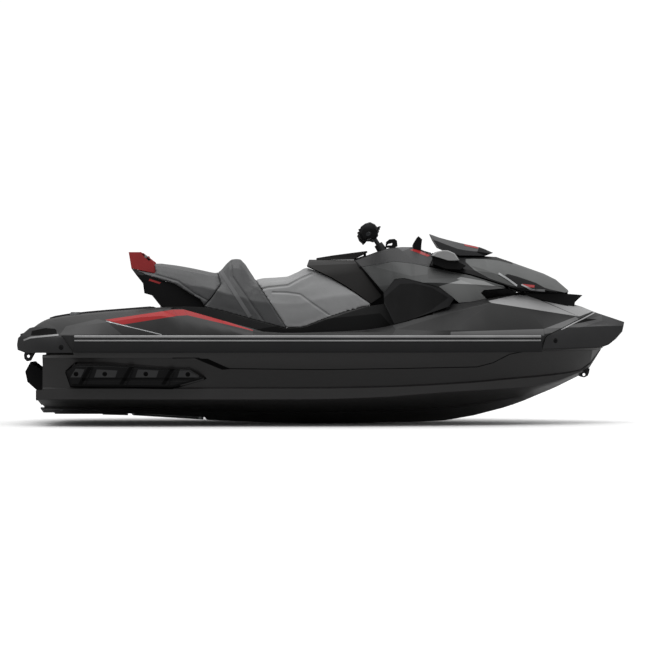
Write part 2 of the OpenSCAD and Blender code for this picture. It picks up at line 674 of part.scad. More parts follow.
module column() {
    translate([column_x, 0, column_z]) rotate([0, -column_rake, 0]) children();
}
module boot_pocket(r) {
    column() translate([0, 0, -57]) cylinder(r = r, h = 140);
}
module console_cover() color([0.20, 0.20, 0.21]) afloat() {
    difference() {
        intersection() {
            console_form();
            across(cover_line, 0, 900, -gap / 2);
        }
        boot_pocket(boot_radius + gap);
    }
    hinge_lug(glove_hinge, 24);
}
module console_hoop() color([0.04, 0.04, 0.05]) afloat() difference() {
    across(hoop_line, 0, 24);
    across(hoop_hole);
    translate([0, 0, gap]) console_form();
    boot_pocket(boot_radius + free);
}
module display() color([0.05, 0.05, 0.06]) afloat() difference() {
    across(display_line, 0, 86);
    translate([0, 0, gap]) console_form();
}
// The boot's foot is the bearing that the steering stem turns in
module steering_boot() color([0.05, 0.05, 0.06]) afloat() column() difference() {
    translate([0, 0, -55]) cylinder(r1 = boot_radius, r2 = boot_radius - 6, h = 96);
    translate([0, 0, -60]) cylinder(r = stem_radius + pin_gap, h = 120);
    translate([0, 0, -38]) cylinder(r = stem_radius + free + 1, h = 120);
}

// ---- front lid with everything that opens with it
module panel_flank(margin) {
    translate([0, 0, 400]) linear_extrude(800) for (side = [-1, 1])
        polygon([for (p = [[700, 150], [860, 142], [1046, 126], [1058, -20], [1400, -20],
                               [1400, 500], [700, 500]]) [p[0] * kx + margin, side * (p[1] + margin)]]);
}
module front_lid() color([0.06, 0.06, 0.07]) afloat() difference() {
    intersection() {
        console_form();
        across(hood_line, 0, 900, -1);
    }
    across([[760, 600], [760, 846], [860, 848], [960, 826], [1040, 800], [1040, 600]], 0, 100);
    intersection() {
        across(hood_panel_line, 0, 900, gap / 2);
        panel_flank(-gap / 2);
    }
}
module hood_panels() color([0.30, 0.30, 0.31]) afloat() {
    difference() {
        intersection() {
            console_form();
            across(hood_panel_line, 0, 900, -gap / 2);
            panel_flank(gap / 2);
        }
        hinge_slot(lid_hinge);
    }
    hinge_pin(lid_hinge);
}
function cowl_half(x) =
    let (v = row(x, cowl_table))
    [[0, 880], [v[1], 881], [v[1] + 2, v[2]], [v[1] * 0.6, v[3] - 6], [0, v[3]]];
module cowl() color([0.12, 0.12, 0.13]) afloat() difference() {
    intersection() {
        skin([for (x = stations(598, 955, 51)) ring(x, cowl_half(x))], true);
        across(cowl_line);
    }
    translate([0, 0, gap]) console_form();
}
module mirrors() color([0.66, 0.67, 0.69]) afloat() both_sides()
    skin([for (p = [[mirror_inner - 26, 0.7], [mirror_inner, 1], [mirror_outer, 1], [mirror_outer + 18, 0.84]])
        [for (q = mirror_line) [(680 + (q[0] - 680) * p[1]) * kx, p[0] * ky, (906 + (q[1] - 906) * p[1]) * kz]]]);
module mirror_feet() color([0.05, 0.05, 0.06]) afloat() difference() {
    across(mirror_foot_line, (mirror_inner + 18) * ky, (mirror_outer - 8) * ky, -gap);
    translate([0, 0, gap]) console_form();
}
module nose_splitter() color([0.05, 0.05, 0.06]) afloat() {
    splitter_plate();
    hinge_lug(lid_hinge, 24);
}
module splitter_plate() difference() {
    intersection() {
        across(splitter_line, 0, 300);
        translate([0, 0, 600]) linear_extrude(200)
            polygon([for (p = [[1090, 190], [1221, 150], [1345, 104], [1400, 62], [1439, 0], [1400, -62],
                               [1345, -104], [1221, -150], [1090, -190]]) [p[0] * kx, p[1] * ky]]);
    }
    translate([0, 0, gap]) deck_form();
    across([[1000, 640], [1000, 800], [1156, 800], [1156, 640]], 0, bin_half + 4);
}
module bin_block(inset, height) {
    translate([bin_line[0][0] * kx + inset, inset - bin_half, bin_line[0][1] * kz + inset])
        cube([(bin_line[1][0] - bin_line[0][0]) * kx - 2 * inset, 2 * (bin_half - inset), height]);
}
module storage_bin() color([0.16, 0.16, 0.17]) afloat() difference() {
    bin_block(gap, 186 * kz);
    bin_block(gap + bin_wall, 400);
}

// ---- steering
module bar_run(from, to, r) {
    a = [-30 * (from - 110) / (bar_width / 2 - 110), from, bar_rise];
    b = [-30 * (to - 110) / (bar_width / 2 - 110), to, bar_rise];
    rod(a, b, r);
}
module handlebar() color([0.35, 0.36, 0.38]) afloat() column() {
    translate([0, 0, -50]) cylinder(r = stem_radius, h = bar_rise + 50);
    translate([0, -110, bar_rise]) rotate([-90, 0, 0]) cylinder(r = bar_radius, h = 220);
    both_sides() {
        translate([0, 110, bar_rise]) sphere(r = bar_radius);
        bar_run(110, bar_width / 2 - 4, bar_radius);
    }
}
module grips() color([0.03, 0.03, 0.03]) afloat() column() both_sides() difference() {
    bar_run(262, bar_width / 2, grip_diameter / 2);
    bar_run(255, bar_width / 2 - 3.5, bar_radius + 0.5);
}
module bar_controls() color([0.05, 0.05, 0.05]) afloat() column() both_sides() {
    difference() {
        union() {
            bar_run(212, 258, 27);
            translate([-34, 214, bar_rise - 14]) cube([34, 40, 34]);
        }
        bar_run(150, 270, bar_radius + 0.5);
    }
    rod([8, 240, bar_rise], [52, 263, bar_rise], 5);
    rod([50, 258, bar_rise], [36, 352, bar_rise], 5);
}
module steering_pad() color([0.04, 0.04, 0.05]) afloat() column() difference() {
    translate([-42, -88, bar_rise - 18]) cube([84, 176, 58]);
    translate([0, -120, bar_rise]) rotate([-90, 0, 0]) cylinder(r = bar_radius + 1, h = 240);
    cylinder(r = stem_radius + 1, h = bar_rise);
}

// ---- engine and pump
module engine_block() color([0.30, 0.31, 0.33]) afloat() {
    translate([engine_x + 14, -120, 100]) cube([560, 240, 190]);
    translate([engine_x + 64, -70, 286]) cube([480, 140, 150]);
    translate([engine_x + 94, 66, 200]) cube([420, 80, 180]);
    translate([engine_x, 0, pump_height]) rotate([0, 90, 0]) cylinder(r = 84, h = 20);
    for (x = [60, 460])
        translate([engine_x + x, -110, engine_foot + gap]) cube([60, 220, 104 - engine_foot]);
}
module aft() {
    translate([pump_front, 0, pump_height]) rotate([0, -90, 0]) children();
}
module pump_housing() color([0.50, 0.51, 0.53]) afloat() difference() {
    union() {
        aft() {
            difference() {
                union() {
                    translate([0, 0, gap]) cylinder(r = pump_bore / 2 + pump_wall, h = pump_length - gap);
                    translate([0, 0, gap]) cylinder(r = pump_bore / 2 + pump_flange, h = 12);
                    translate([0, 0, pump_length - 12]) cylinder(r = pump_bore / 2 + venturi_flange, h = 12);
                }
                translate([0, 0, -1]) cylinder(d = pump_bore, h = 160);
            }
            translate([0, 0, 64]) cylinder(r1 = 30, r2 = 22, h = pump_length - 64);
            for (i = [0 : 4])
                rotate([0, 0, 72 * i + 20]) translate([-3, 18, 70])
                    cube([6, pump_bore / 2 - 14, 74]);
        }
        both_sides() rotate([90, 0, 0]) translate([0, 0, -bracket_y - bracket_wall])
            linear_extrude(bracket_wall)
            polygon([[pump_front - 60, pump_height - 24], [gate_x - 16, gate_z - 16],
                     [gate_x - 16, gate_z + 16], [gate_x + 10, gate_z + 18],
                     [pump_front - 60, pump_height + 40]]);
        both_sides() translate([pump_front - 146, bracket_y - 25, pump_height - 22]) cube([86, 30, 44]);
    }
    translate([gate_x, 0, gate_z]) rotate([90, 0, 0])
        cylinder(r = pivot_pin + pin_gap, h = 400, center = true);
    aft() {
        translate([0, 0, -1]) cylinder(d = pump_bore, h = 67);
        cylinder(r = tail_shaft + pin_gap, h = 92);
    }
}
function blade_point(r, z, a) = [r * cos(a), r * sin(a), z];
module impeller() color([0.62, 0.63, 0.65]) afloat() aft() {
    translate([0, 0, 4]) cylinder(r1 = 24, r2 = 30, h = 54);
    translate([0, 0, 50]) cylinder(r = tail_shaft, h = 38);
    translate([0, 0, pump_front - engine_x + 8])
        cylinder(r = shaft_radius, h = 10 - pump_front + engine_x - 8);
    for (i = [0 : impeller_blades - 1])
        rotate([0, 0, 360 / impeller_blades * i])
            skin([for (r = [22, 40, 58, pump_bore / 2 - 5]) [
                blade_point(r, 8, -28), blade_point(r, 52, 28), blade_point(r, 56, 30),
                blade_point(r, 13, -31)]]);
}
module venturi() color([0.46, 0.47, 0.49]) afloat() {
    aft() difference() {
        rotate_extrude() polygon([
            [pump_bore / 2, pump_length + gap], [pump_bore / 2 + venturi_flange, pump_length + gap],
            [pump_bore / 2 + venturi_flange, 164],
            [pump_bore / 2 + 9, 165], [57, 188], [50, 200], [48, 246], [42, 246], [43, 200], [48, 190]
        ]);
    }
    both_sides() difference() {
        translate([pivot_x - 14, 98, pump_height - 14]) cube([90, 8, 28]);
        translate([pivot_x, 0, pump_height]) rotate([-90, 0, 0])
            cylinder(r = pivot_pin + pin_gap, h = 200);
    }
}
module trim_ring() color([0.40, 0.41, 0.43]) afloat() translate([pivot_x, 0, pump_height]) {
    rotate([0, -90, 0]) difference() {
        translate([0, 0, -13]) cylinder(r = 91, h = 26);
        translate([0, 0, -14]) cylinder(r = 80, h = 28);
        rotate([0, 90, 0]) cylinder(r = pivot_pin + pin_gap, h = 300, center = true);
    }
    both_sides() translate([0, 88, 0]) rotate([-90, 0, 0]) cylinder(r = pivot_pin, h = 20);
}
module steering_nozzle() color([0.44, 0.45, 0.47]) afloat() translate([pivot_x, 0, pump_height]) {
    rotate([0, -90, 0]) rotate_extrude() polygon([
        [64, -12], [71, -12], [67, 14], [nozzle_bore / 2 + 6, 66], [nozzle_bore / 2, 66], [60, 14]
    ]);
    translate([0, 0, 67]) cylinder(r = pivot_pin, h = 22);
    translate([0, 0, -89]) cylinder(r = pivot_pin, h = 22);
}
module reverse_gate() color([0.07, 0.07, 0.08]) afloat() translate([gate_x, 0, gate_z]) {
    rotate([90, 0, 0]) linear_extrude(2 * gate_half, center = true)
        polygon([[-165, 128], [-194, 74], [-182, 18], [-128, -30], [-120, -24], [-172, 20],
                 [-184, 74], [-157, 121]]);
    both_sides() translate([0, gate_half, 0]) rotate([90, 0, 0]) linear_extrude(bracket_wall)
        polygon([[-162, 124], [-189, 74], [-177, 19], [-124, -27], [-40, -14], [12, -14], [14, 0],
                 [12, 14], [-30, 24]]);
    both_sides() translate([0, gate_half - 25, 0]) rotate([-90, 0, 0])
        cylinder(r = pivot_pin, h = 24);
}
module ride_plate() color([0.40, 0.41, 0.42]) afloat() difference() {
    w = recess_half - gap;
    translate([plate_end, 0, plate_top]) rotate([90, 0, 90])
        linear_extrude(pump_front - plate_end - gap)
            polygon([[0, -plate_thickness], [w, plate_rise - plate_thickness], [w, plate_rise],
                     [0, 0], [-w, plate_rise], [-w, plate_rise - plate_thickness]]);
    translate([plate_end - 10, -50, 0]) cube([70, 100, 100]);
}
module intake_grate() color([0.50, 0.51, 0.53]) afloat() {
    for (y = [-52, -26, 0, 26, 52])
        rod([-1016 * kx, y, 49 + abs(y) / 6], [-632 * kx, y, 26 + abs(y) / 6], 5);
    for (x = [-1010, -646])
        translate([x * kx, gap - pump_bore / 2, x < -900 ? 56 : 33]) rotate([-90, 0, 0])
            cylinder(r = 7, h = pump_bore - 2 * gap);
}

hull();
deck();
rub_rails();
bow_bumper();
stern_bumpers();
sponsons();
deck_mats();
cargo_anchors();
stern_tow_eye();
bow_eye();
front_seat();
seat_bolster();
rear_seat();
rear_seat_base();
grab_handle();
glove_box_housing();
glove_box_lid();
console_core();
side_panels();
knee_pods();
console_cover();
console_hoop();
display();
steering_boot();
front_lid();
hood_panels();
cowl();
mirrors();
mirror_feet();
nose_splitter();
storage_bin();
handlebar();
grips();
bar_controls();
steering_pad();
engine_block();
pump_housing();
impeller();
venturi();
trim_ring();
steering_nozzle();
reverse_gate();
ride_plate();
intake_grate();
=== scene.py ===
import json
import math

import bmesh
import bpy
import numpy as np
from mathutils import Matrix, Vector
from mathutils.bvhtree import BVHTree


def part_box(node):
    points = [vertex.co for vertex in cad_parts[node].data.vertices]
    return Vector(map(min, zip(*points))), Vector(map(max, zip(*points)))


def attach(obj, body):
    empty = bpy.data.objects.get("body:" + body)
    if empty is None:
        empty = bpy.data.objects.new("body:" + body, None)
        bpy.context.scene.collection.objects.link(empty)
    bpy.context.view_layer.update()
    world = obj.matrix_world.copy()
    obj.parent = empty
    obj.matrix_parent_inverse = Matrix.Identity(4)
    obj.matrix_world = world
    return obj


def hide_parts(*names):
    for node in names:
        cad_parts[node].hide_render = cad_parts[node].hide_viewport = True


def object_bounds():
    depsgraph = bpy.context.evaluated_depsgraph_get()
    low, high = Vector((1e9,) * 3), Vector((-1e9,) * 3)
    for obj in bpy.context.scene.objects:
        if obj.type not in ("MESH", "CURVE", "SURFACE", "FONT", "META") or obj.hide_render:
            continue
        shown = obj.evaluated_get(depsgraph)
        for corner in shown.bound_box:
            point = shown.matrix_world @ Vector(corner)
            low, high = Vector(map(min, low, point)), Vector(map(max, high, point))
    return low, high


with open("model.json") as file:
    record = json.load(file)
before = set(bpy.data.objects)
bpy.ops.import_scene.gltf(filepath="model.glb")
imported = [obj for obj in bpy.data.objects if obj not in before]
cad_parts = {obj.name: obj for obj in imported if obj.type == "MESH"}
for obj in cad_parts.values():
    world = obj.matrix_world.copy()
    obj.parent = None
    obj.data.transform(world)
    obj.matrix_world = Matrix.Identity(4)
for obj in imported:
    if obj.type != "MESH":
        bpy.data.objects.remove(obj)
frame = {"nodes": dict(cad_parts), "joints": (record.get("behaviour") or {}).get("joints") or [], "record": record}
cad_low, cad_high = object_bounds()
nodes = frame["nodes"]
scene = bpy.context.scene

# The outlines below are drawn in side view in millimetres: x forward from amidships, z up
# from the keel line. at() puts such a point on the craft's centre plane, in metres.
hull_low, hull_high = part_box("hull")
DRAWN_HULL_LENGTH = 3027
LENGTHWISE = (hull_high.x - hull_low.x) / DRAWN_HULL_LENGTH
UPWARD = 1.0125e-3
KEEL = hull_low.z
STARBOARD, PORT = -1, 1
BOTH_SIDES = (STARBOARD, PORT)
# Corners of the CAD meshes that are nearer than this are one corner
WELD = 2e-5


def at(x, z):
    return Vector((x * LENGTHWISE, 0, z * UPWARD + KEEL))


def edges_of(outline):
    """Each edge of a convex side-view outline: a point on it and its inward normal."""
    corners = [at(x, z) for x, z in outline]
    middle = sum(corners, Vector()) / len(corners)
    for a, b in zip(corners, corners[1:] + corners[:1]):
        inward = Vector((a.z - b.z, 0, b.x - a.x)).normalized()
        yield a, -inward if inward.dot(middle - a) < 0 else inward


# ---------- materials


def new_material(name):
    material = bpy.data.materials.new(name)
    material.use_nodes = True
    tree = material.node_tree
    return material, tree, tree.nodes["Principled BSDF"]


def link(tree, a, b):
    tree.links.new(a, b)


def noise(tree, scale, detail, roughness=0.5, stretch=(1, 1, 1)):
    """A noise texture in the piece's own coordinates, in metres."""
    place = tree.nodes.new("ShaderNodeTexCoord")
    mapping = tree.nodes.new("ShaderNodeMapping")
    mapping.inputs["Scale"].default_value = stretch
    texture = tree.nodes.new("ShaderNodeTexNoise")
    texture.inputs["Scale"].default_value = scale
    texture.inputs["Detail"].default_value = detail
    texture.inputs["Roughness"].default_value = roughness
    link(tree, place.outputs["Object"], mapping.inputs["Vector"])
    link(tree, mapping.outputs["Vector"], texture.inputs["Vector"])
    return texture


def cells(tree, scale):
    """A cell texture in the piece's own coordinates: distance to each cell's edge."""
    place = tree.nodes.new("ShaderNodeTexCoord")
    texture = tree.nodes.new("ShaderNodeTexVoronoi")
    texture.feature = "DISTANCE_TO_EDGE"
    texture.inputs["Scale"].default_value = scale
    link(tree, place.outputs["Object"], texture.inputs["Vector"])
    return texture


def spread(tree, value, low, high):
    """Maps a value from 0 to 1 onto the range from low to high."""
    node = tree.nodes.new("ShaderNodeMapRange")
    node.inputs["To Min"].default_value = low
    node.inputs["To Max"].default_value = high
    link(tree, value, node.inputs["Value"])
    return node.outputs["Result"]


def varied(tree, value, colour, amount):
    """A colour that turns darker and lighter by an amount as the value goes up."""
    ramp = tree.nodes.new("ShaderNodeValToRGB")
    ends = zip(ramp.color_ramp.elements, (0.3, 0.7), (1 - amount, 1 + amount))
    for element, position, factor in ends:
        element.position = position
        element.color = [c * factor for c in colour] + [1]
    link(tree, value, ramp.inputs["Fac"])
    return ramp.outputs["Color"]


def calculate(tree, operation, a, b):
    """A math node's result for two inputs, each a number or a socket."""
    node = tree.nodes.new("ShaderNodeMath")
    node.operation = operation
    for socket, value in zip(node.inputs, (a, b)):
        if isinstance(value, (int, float)):
            socket.default_value = value
        else:
            link(tree, value, socket)
    return node.outputs["Value"]


PAINT_EDGE = 0.001


def inside(tree, outline, breadth):
    """1 within a convex side-view outline, 0 outside it, with a soft edge. A half-breadth in
    metres above 0 keeps it to outward faces that lie beyond that."""
    place = tree.nodes.new("ShaderNodeTexCoord").outputs["Object"]
    reach = None
    for corner, inward in edges_of(outline):
        dot = tree.nodes.new("ShaderNodeVectorMath")
        dot.operation = "DOT_PRODUCT"
        dot.inputs[1].default_value = inward
        link(tree, place, dot.inputs[0])
        away = calculate(tree, "SUBTRACT", dot.outputs["Value"], inward.dot(corner))
        reach = away if reach is None else calculate(tree, "MINIMUM", reach, away)
    if breadth:
        split = tree.nodes.new("ShaderNodeSeparateXYZ")
        link(tree, place, split.inputs["Vector"])
        aside = calculate(tree, "ABSOLUTE", split.outputs["Y"], 0.0)
        normal = tree.nodes.new("ShaderNodeNewGeometry").outputs["True Normal"]
        facing = tree.nodes.new("ShaderNodeSeparateXYZ")
        link(tree, normal, facing.inputs["Vector"])
        outward = calculate(tree, "MULTIPLY", facing.outputs["Y"], split.outputs["Y"])
        reach = calculate(tree, "MINIMUM", reach, calculate(tree, "SUBTRACT", aside, breadth))
        reach = calculate(tree, "MINIMUM", reach, outward)
    edge = calculate(tree, "MULTIPLY", reach, 1 / PAINT_EDGE)
    return calculate(tree, "MINIMUM", calculate(tree, "MAXIMUM", edge, 0.0), 1.0)


def painted(tree, base, paint):
    """Lays each (colour, outlines, least half-breadth) of paint over a base colour."""
    for colour, outlines, breadth in paint:
        mask = None
        for outline in outlines:
            one = inside(tree, outline, breadth)
            mask = one if mask is None else calculate(tree, "MAXIMUM", mask, one)
        mix = tree.nodes.new("ShaderNodeMix")
        mix.data_type = "RGBA"
        link(tree, mask, mix.inputs["Factor"])
        link(tree, base, mix.inputs["A"])
        mix.inputs["B"].default_value = (*colour, 1)
        base = mix.outputs["Result"]
    return base


def bump(tree, height, strength, distance, shader):
    node = tree.nodes.new("ShaderNodeBump")
    node.inputs["Strength"].default_value = strength
    node.inputs["Distance"].default_value = distance
    link(tree, height, node.inputs["Height"])
    link(tree, node.outputs["Normal"], shader.inputs["Normal"])


def surface(name, colour, rough, metallic=0.0, coat=0.0, coat_rough=0.05, patch=9.0, amount=0.08,
            grain=900.0, depth=0.0002, strength=0.25, stretch=(1, 1, 1), specular=0.5, paint=()):
    """A solid finish: broad patches vary its colour and roughness, fine grain roughens it."""
    material, tree, shader = new_material(name)
    broad = noise(tree, patch, 4.0)
    base = painted(tree, varied(tree, broad.outputs["Fac"], colour, amount), paint)
    link(tree, base, shader.inputs["Base Color"])
    link(tree, spread(tree, broad.outputs["Fac"], rough * 0.85, min(1.0, rough * 1.15)),
         shader.inputs["Roughness"])
    fine = noise(tree, grain, 2.0, 0.6, stretch)
    bump(tree, fine.outputs["Fac"], strength, depth, shader)
    shader.inputs["Metallic"].default_value = metallic
    shader.inputs["Coat Weight"].default_value = coat
    shader.inputs["Coat Roughness"].default_value = coat_rough
    shader.inputs["Specular IOR Level"].default_value = specular
    return material


def vinyl(name, colour, rough=0.42):
    """Marine vinyl: a pebbled leather grain over slightly uneven colour."""
    material, tree, shader = new_material(name)
    broad = noise(tree, 7.0, 4.0)
    link(tree, varied(tree, broad.outputs["Fac"], colour, 0.07), shader.inputs["Base Color"])
    link(tree, spread(tree, broad.outputs["Fac"], rough * 0.9, rough * 1.15), shader.inputs["Roughness"])
    grain = cells(tree, 420.0)
    bump(tree, spread(tree, grain.outputs["Distance"], 0.0, 4.0), 0.35, 0.0003, shader)
    shader.inputs["Sheen Weight"].default_value = 0.12
    return material


# Outlines of the painted areas; each name is a list of convex outlines
STRIPE_AFT = [[(-1126, 564), (-769, 617), (-741, 584), (-1028, 538)]]
STRIPE_FORE = [
    [(-769, 617), (-709, 618), (-688, 587), (-741, 584)],
    [(-709, 618), (-508, 563), (-505, 544), (-688, 587)],
    [(-508, 563), (-323, 503), (-323, 500), (-505, 544)],
]
# Painted highlights and shade on the side panel's facets: the top, the fore area and the strip painted lighter,
# the middle darker
PANEL_TOP_HIGHLIGHT = [[(300, 850), (396, 882), (489, 868), (584, 852), (581, 807), (495, 798)]]
PANEL_MID_SHADE = [[(588, 850), (693, 828), (770, 808), (742, 786), (585, 783), (581, 808)]]
PANEL_FORE_HIGHLIGHT = [[(640, 742), (783, 786), (884, 761), (1010, 735), (906, 660), (745, 648)]]
PANEL_STRIP_HIGHLIGHT = [
    [(783, 806), (823, 798), (884, 772), (1008, 750), (1002, 731), (897, 731), (736, 783)],
]
# Painted highlight: the upper part of each mirror painted lighter
MIRROR_HIGHLIGHT = [
    [(596, 909), (620, 935), (700, 945), (760, 915), (752, 882), (697, 878), (660, 890)],
]
# Painted shade: the lower part of the hood painted darker
HOOD_LOWER_SHADE = [[(794, 874), (887, 836), (961, 815), (1066, 744), (1011, 752), (887, 800)]]
# Painted highlight: the fore deck's facets that face up, painted light
FORE_DECK_HIGHLIGHT = [
    [(904, 665), (1090, 706), (1192, 671), (1407, 582), (920, 654)],
    [(1192, 675), (1355, 663), (1497, 613), (1407, 582)],
]
# Painted shade: the fore deck's side facets below the lit ones, painted near black
FORE_DECK_SHADE = [
    [(408, 514), (699, 600), (920, 654), (693, 501)],
    [(693, 501), (920, 654), (1407, 582), (1198, 516)],
]
# Painted highlight: the aft deck painted lighter where light falls on it
AFT_DECK_HIGHLIGHT = [[(-1360, 486), (-1330, 530), (-1140, 574), (-1117, 556), (-850, 486)]]
# Painted shade: the footwell's side painted near black
FOOTWELL_SHADE = [[(-345, 484), (-345, 512), (-60, 560), (330, 600), (405, 515), (385, 484)]]
# Painted highlight: lighter areas along the bow bumper
BUMPER_HIGHLIGHT = [
    [(1195, 500), (1290, 512), (1330, 534), (1424, 578), (1300, 600)],
    [(1324, 529), (1424, 560), (1540, 590), (1540, 560), (1400, 522)],
]
# Painted shade: the knee pod's body painted near black, which leaves its rim lighter
POD_SHADE = [[(340, 676), (432, 756), (510, 758), (604, 735), (690, 682), (590, 610), (405, 530)]]
# Painted highlight: a lighter band along the sill above the rub rail
SILL_HIGHLIGHT = [
    [(693, 501), (1198, 516), (1201, 480), (692, 476)],
    [(1198, 516), (1389, 582), (1458, 526), (1201, 488)],
]
# Painted highlight: the top of the glove box housing painted lighter
HOUSING_TOP_HIGHLIGHT = [[(-66, 856), (-66, 900), (200, 900), (200, 868), (150, 866)]]
# Painted highlight: a lighter facet on the console
CONSOLE_HIGHLIGHT = [[(426, 958), (510, 961), (451, 934)]]

# What is painted over a finish: colour, outlines and least half-breadth
STRIPE_RED = (0.36, 0.012, 0.014)
DECK_STRIPES_AND_PAINTED_LIGHT = [
    # Painted highlight on the aft deck; the red stripes after it are real paint
    ((0.052, 0.052, 0.0525), AFT_DECK_HIGHLIGHT, 0.40),
    (STRIPE_RED, STRIPE_AFT, 0.44),
    (STRIPE_RED, STRIPE_FORE, 0.48),
    # Painted shade and highlight on the fore deck's facets, a painted highlight on the sill and painted shade in
    # the footwell
    ((0.011, 0.011, 0.0112), FORE_DECK_SHADE, 0.0),
    ((0.32, 0.32, 0.322), FORE_DECK_HIGHLIGHT, 0.0),
    ((0.13, 0.13, 0.131), SILL_HIGHLIGHT, 0.0),
    ((0.005, 0.005, 0.0052), FOOTWELL_SHADE, 0.0),
]
# Painted highlights and shade on the side panel's facets, and a painted highlight on the mirrors
PANEL_PAINTED_LIGHT_AND_SHADE = [
    ((0.075, 0.077, 0.077), PANEL_TOP_HIGHLIGHT, 0.0),
    ((0.040, 0.041, 0.041), PANEL_MID_SHADE, 0.0),
    ((0.30, 0.306, 0.304), PANEL_FORE_HIGHLIGHT, 0.0),
    ((0.24, 0.243, 0.242), PANEL_STRIP_HIGHLIGHT, 0.0),
    ((0.30, 0.302, 0.303), MIRROR_HIGHLIGHT, 0.0),
]
# Painted highlight on the bow bumper
BUMPER_PAINTED_HIGHLIGHT = [((0.040, 0.040, 0.041), BUMPER_HIGHLIGHT, 0.0)]
# Painted shade on the knee pod's body
POD_PAINTED_SHADE = [((0.0012, 0.0012, 0.0013), POD_SHADE, 0.0)]
# Painted highlight on the housing's top
HOUSING_PAINTED_HIGHLIGHT = [((0.045, 0.044, 0.044), HOUSING_TOP_HIGHLIGHT, 0.0)]
# Painted highlight on the console
CONSOLE_PAINTED_HIGHLIGHT = [((0.10, 0.10, 0.103), CONSOLE_HIGHLIGHT, 0.0)]
# Painted shade on the hood's lower part
HOOD_PAINTED_SHADE = [((0.060, 0.062, 0.061), HOOD_LOWER_SHADE, 0.0)]

GELCOAT = dict(coat=0.15, coat_rough=0.3, grain=1800.0, depth=0.00008, strength=0.12, specular=0.2)
GLOSSY_GELCOAT = dict(GELCOAT, coat=0.6, coat_rough=0.22, specular=0.5)
FINISHES = {
    "hull_gelcoat": surface("hull_gelcoat", (0.013, 0.012, 0.0122), 0.42, **GLOSSY_GELCOAT),
    "deck_gelcoat": surface("deck_gelcoat", (0.024, 0.024, 0.0243), 0.45, paint=DECK_STRIPES_AND_PAINTED_LIGHT, **GELCOAT),
    "rail_vinyl": surface("rail_vinyl", (0.014, 0.014, 0.015), 0.5, grain=500.0, specular=0.3),
    "bumper_plastic": surface("bumper_plastic", (0.016, 0.016, 0.017), 0.46, paint=BUMPER_PAINTED_HIGHLIGHT),
    "black_plastic": surface("black_plastic", (0.005, 0.005, 0.0054), 0.5, grain=700.0, specular=0.16),
    "black_gloss": surface("black_gloss", (0.009, 0.009, 0.0095), 0.5, specular=0.07, paint=POD_PAINTED_SHADE),
    "traction_mat": surface("traction_mat", (0.018, 0.018, 0.020), 0.80, grain=350.0, depth=0.0006),
    "anchor_metal": surface("anchor_metal", (0.35, 0.36, 0.37), 0.35, metallic=1.0),
    "fitting_black": surface("fitting_black", (0.018, 0.018, 0.020), 0.38, metallic=0.3),
    "seat_light": vinyl("seat_light", (0.27, 0.272, 0.275)),
    "seat_grey": vinyl("seat_grey", (0.060, 0.061, 0.063)),
    "red_plastic": surface("red_plastic", (0.34, 0.020, 0.022), 0.38, amount=0.10),
    "dark_trim": surface("dark_trim", (0.016, 0.0152, 0.0148), 0.5, specular=0.22, paint=HOUSING_PAINTED_HIGHLIGHT),
    "silver_paint": surface("silver_paint", (0.055, 0.057, 0.057), 0.42, paint=PANEL_PAINTED_LIGHT_AND_SHADE, **GELCOAT),
    "console_grey": surface("console_grey", (0.040, 0.040, 0.041), 0.5, specular=0.3,
                            paint=CONSOLE_PAINTED_HIGHLIGHT),
    "hood_grey": surface("hood_grey", (0.10, 0.103, 0.102), 0.42, paint=HOOD_PAINTED_SHADE, **GELCOAT),
    "cowl_grey": surface("cowl_grey", (0.030, 0.030, 0.032), 0.38),
    "boot_rubber": surface("boot_rubber", (0.012, 0.012, 0.012), 0.65),
    "bin_plastic": surface("bin_plastic", (0.03, 0.03, 0.032), 0.55),
    "bar_metal": surface("bar_metal", (0.05, 0.052, 0.055), 0.32, metallic=0.9),
    "grip_rubber": surface("grip_rubber", (0.010, 0.010, 0.010), 0.70),
    "pad_foam": vinyl("pad_foam", (0.014, 0.014, 0.015), 0.5),
    "engine_metal": surface("engine_metal", (0.16, 0.165, 0.17), 0.5, metallic=0.8),
    "pump_metal": surface("pump_metal", (0.22, 0.225, 0.235), 0.42, metallic=0.9),
    "steel": surface("steel", (0.42, 0.43, 0.44), 0.28, metallic=1.0, stretch=(1, 12, 12)),
    "plate_metal": surface("plate_metal", (0.16, 0.163, 0.168), 0.45, metallic=0.85),
}
BRIGHT = surface("bright_trim", (0.32, 0.325, 0.33), 0.30, metallic=0.7)
SEAM_THREAD = surface("seam_thread", (0.10, 0.10, 0.102), 0.8)
WEBBING = surface("webbing", (0.13, 0.131, 0.134), 0.7, grain=260.0, depth=0.0006, strength=0.6,
                  stretch=(1, 1, 4))
MIRROR_GLASS = surface("mirror_glass", (0.75, 0.76, 0.78), 0.03, metallic=1.0, amount=0.01,
                       strength=0.0)
SCREEN = surface("screen", (0.006, 0.007, 0.009), 0.12, coat=1.0, coat_rough=0.02, strength=0.0)
# Light grey on the beads of the rails and bumper lips: a painted highlight
BEAD_HIGHLIGHT = surface("rail_highlight_bead", (0.30, 0.30, 0.302), 0.36, grain=500.0)
# Near black: the colour of the sponson's blades and bolts, and also painted shade in the notch, recesses and
# groove and along the sponson's edge
PITCH = surface("pitch_black", (0.0012, 0.0012, 0.0013), 0.5, specular=0.08)
POCKET = surface("pocket_grey", (0.020, 0.020, 0.021), 0.45)


# ---------- CAD nodes


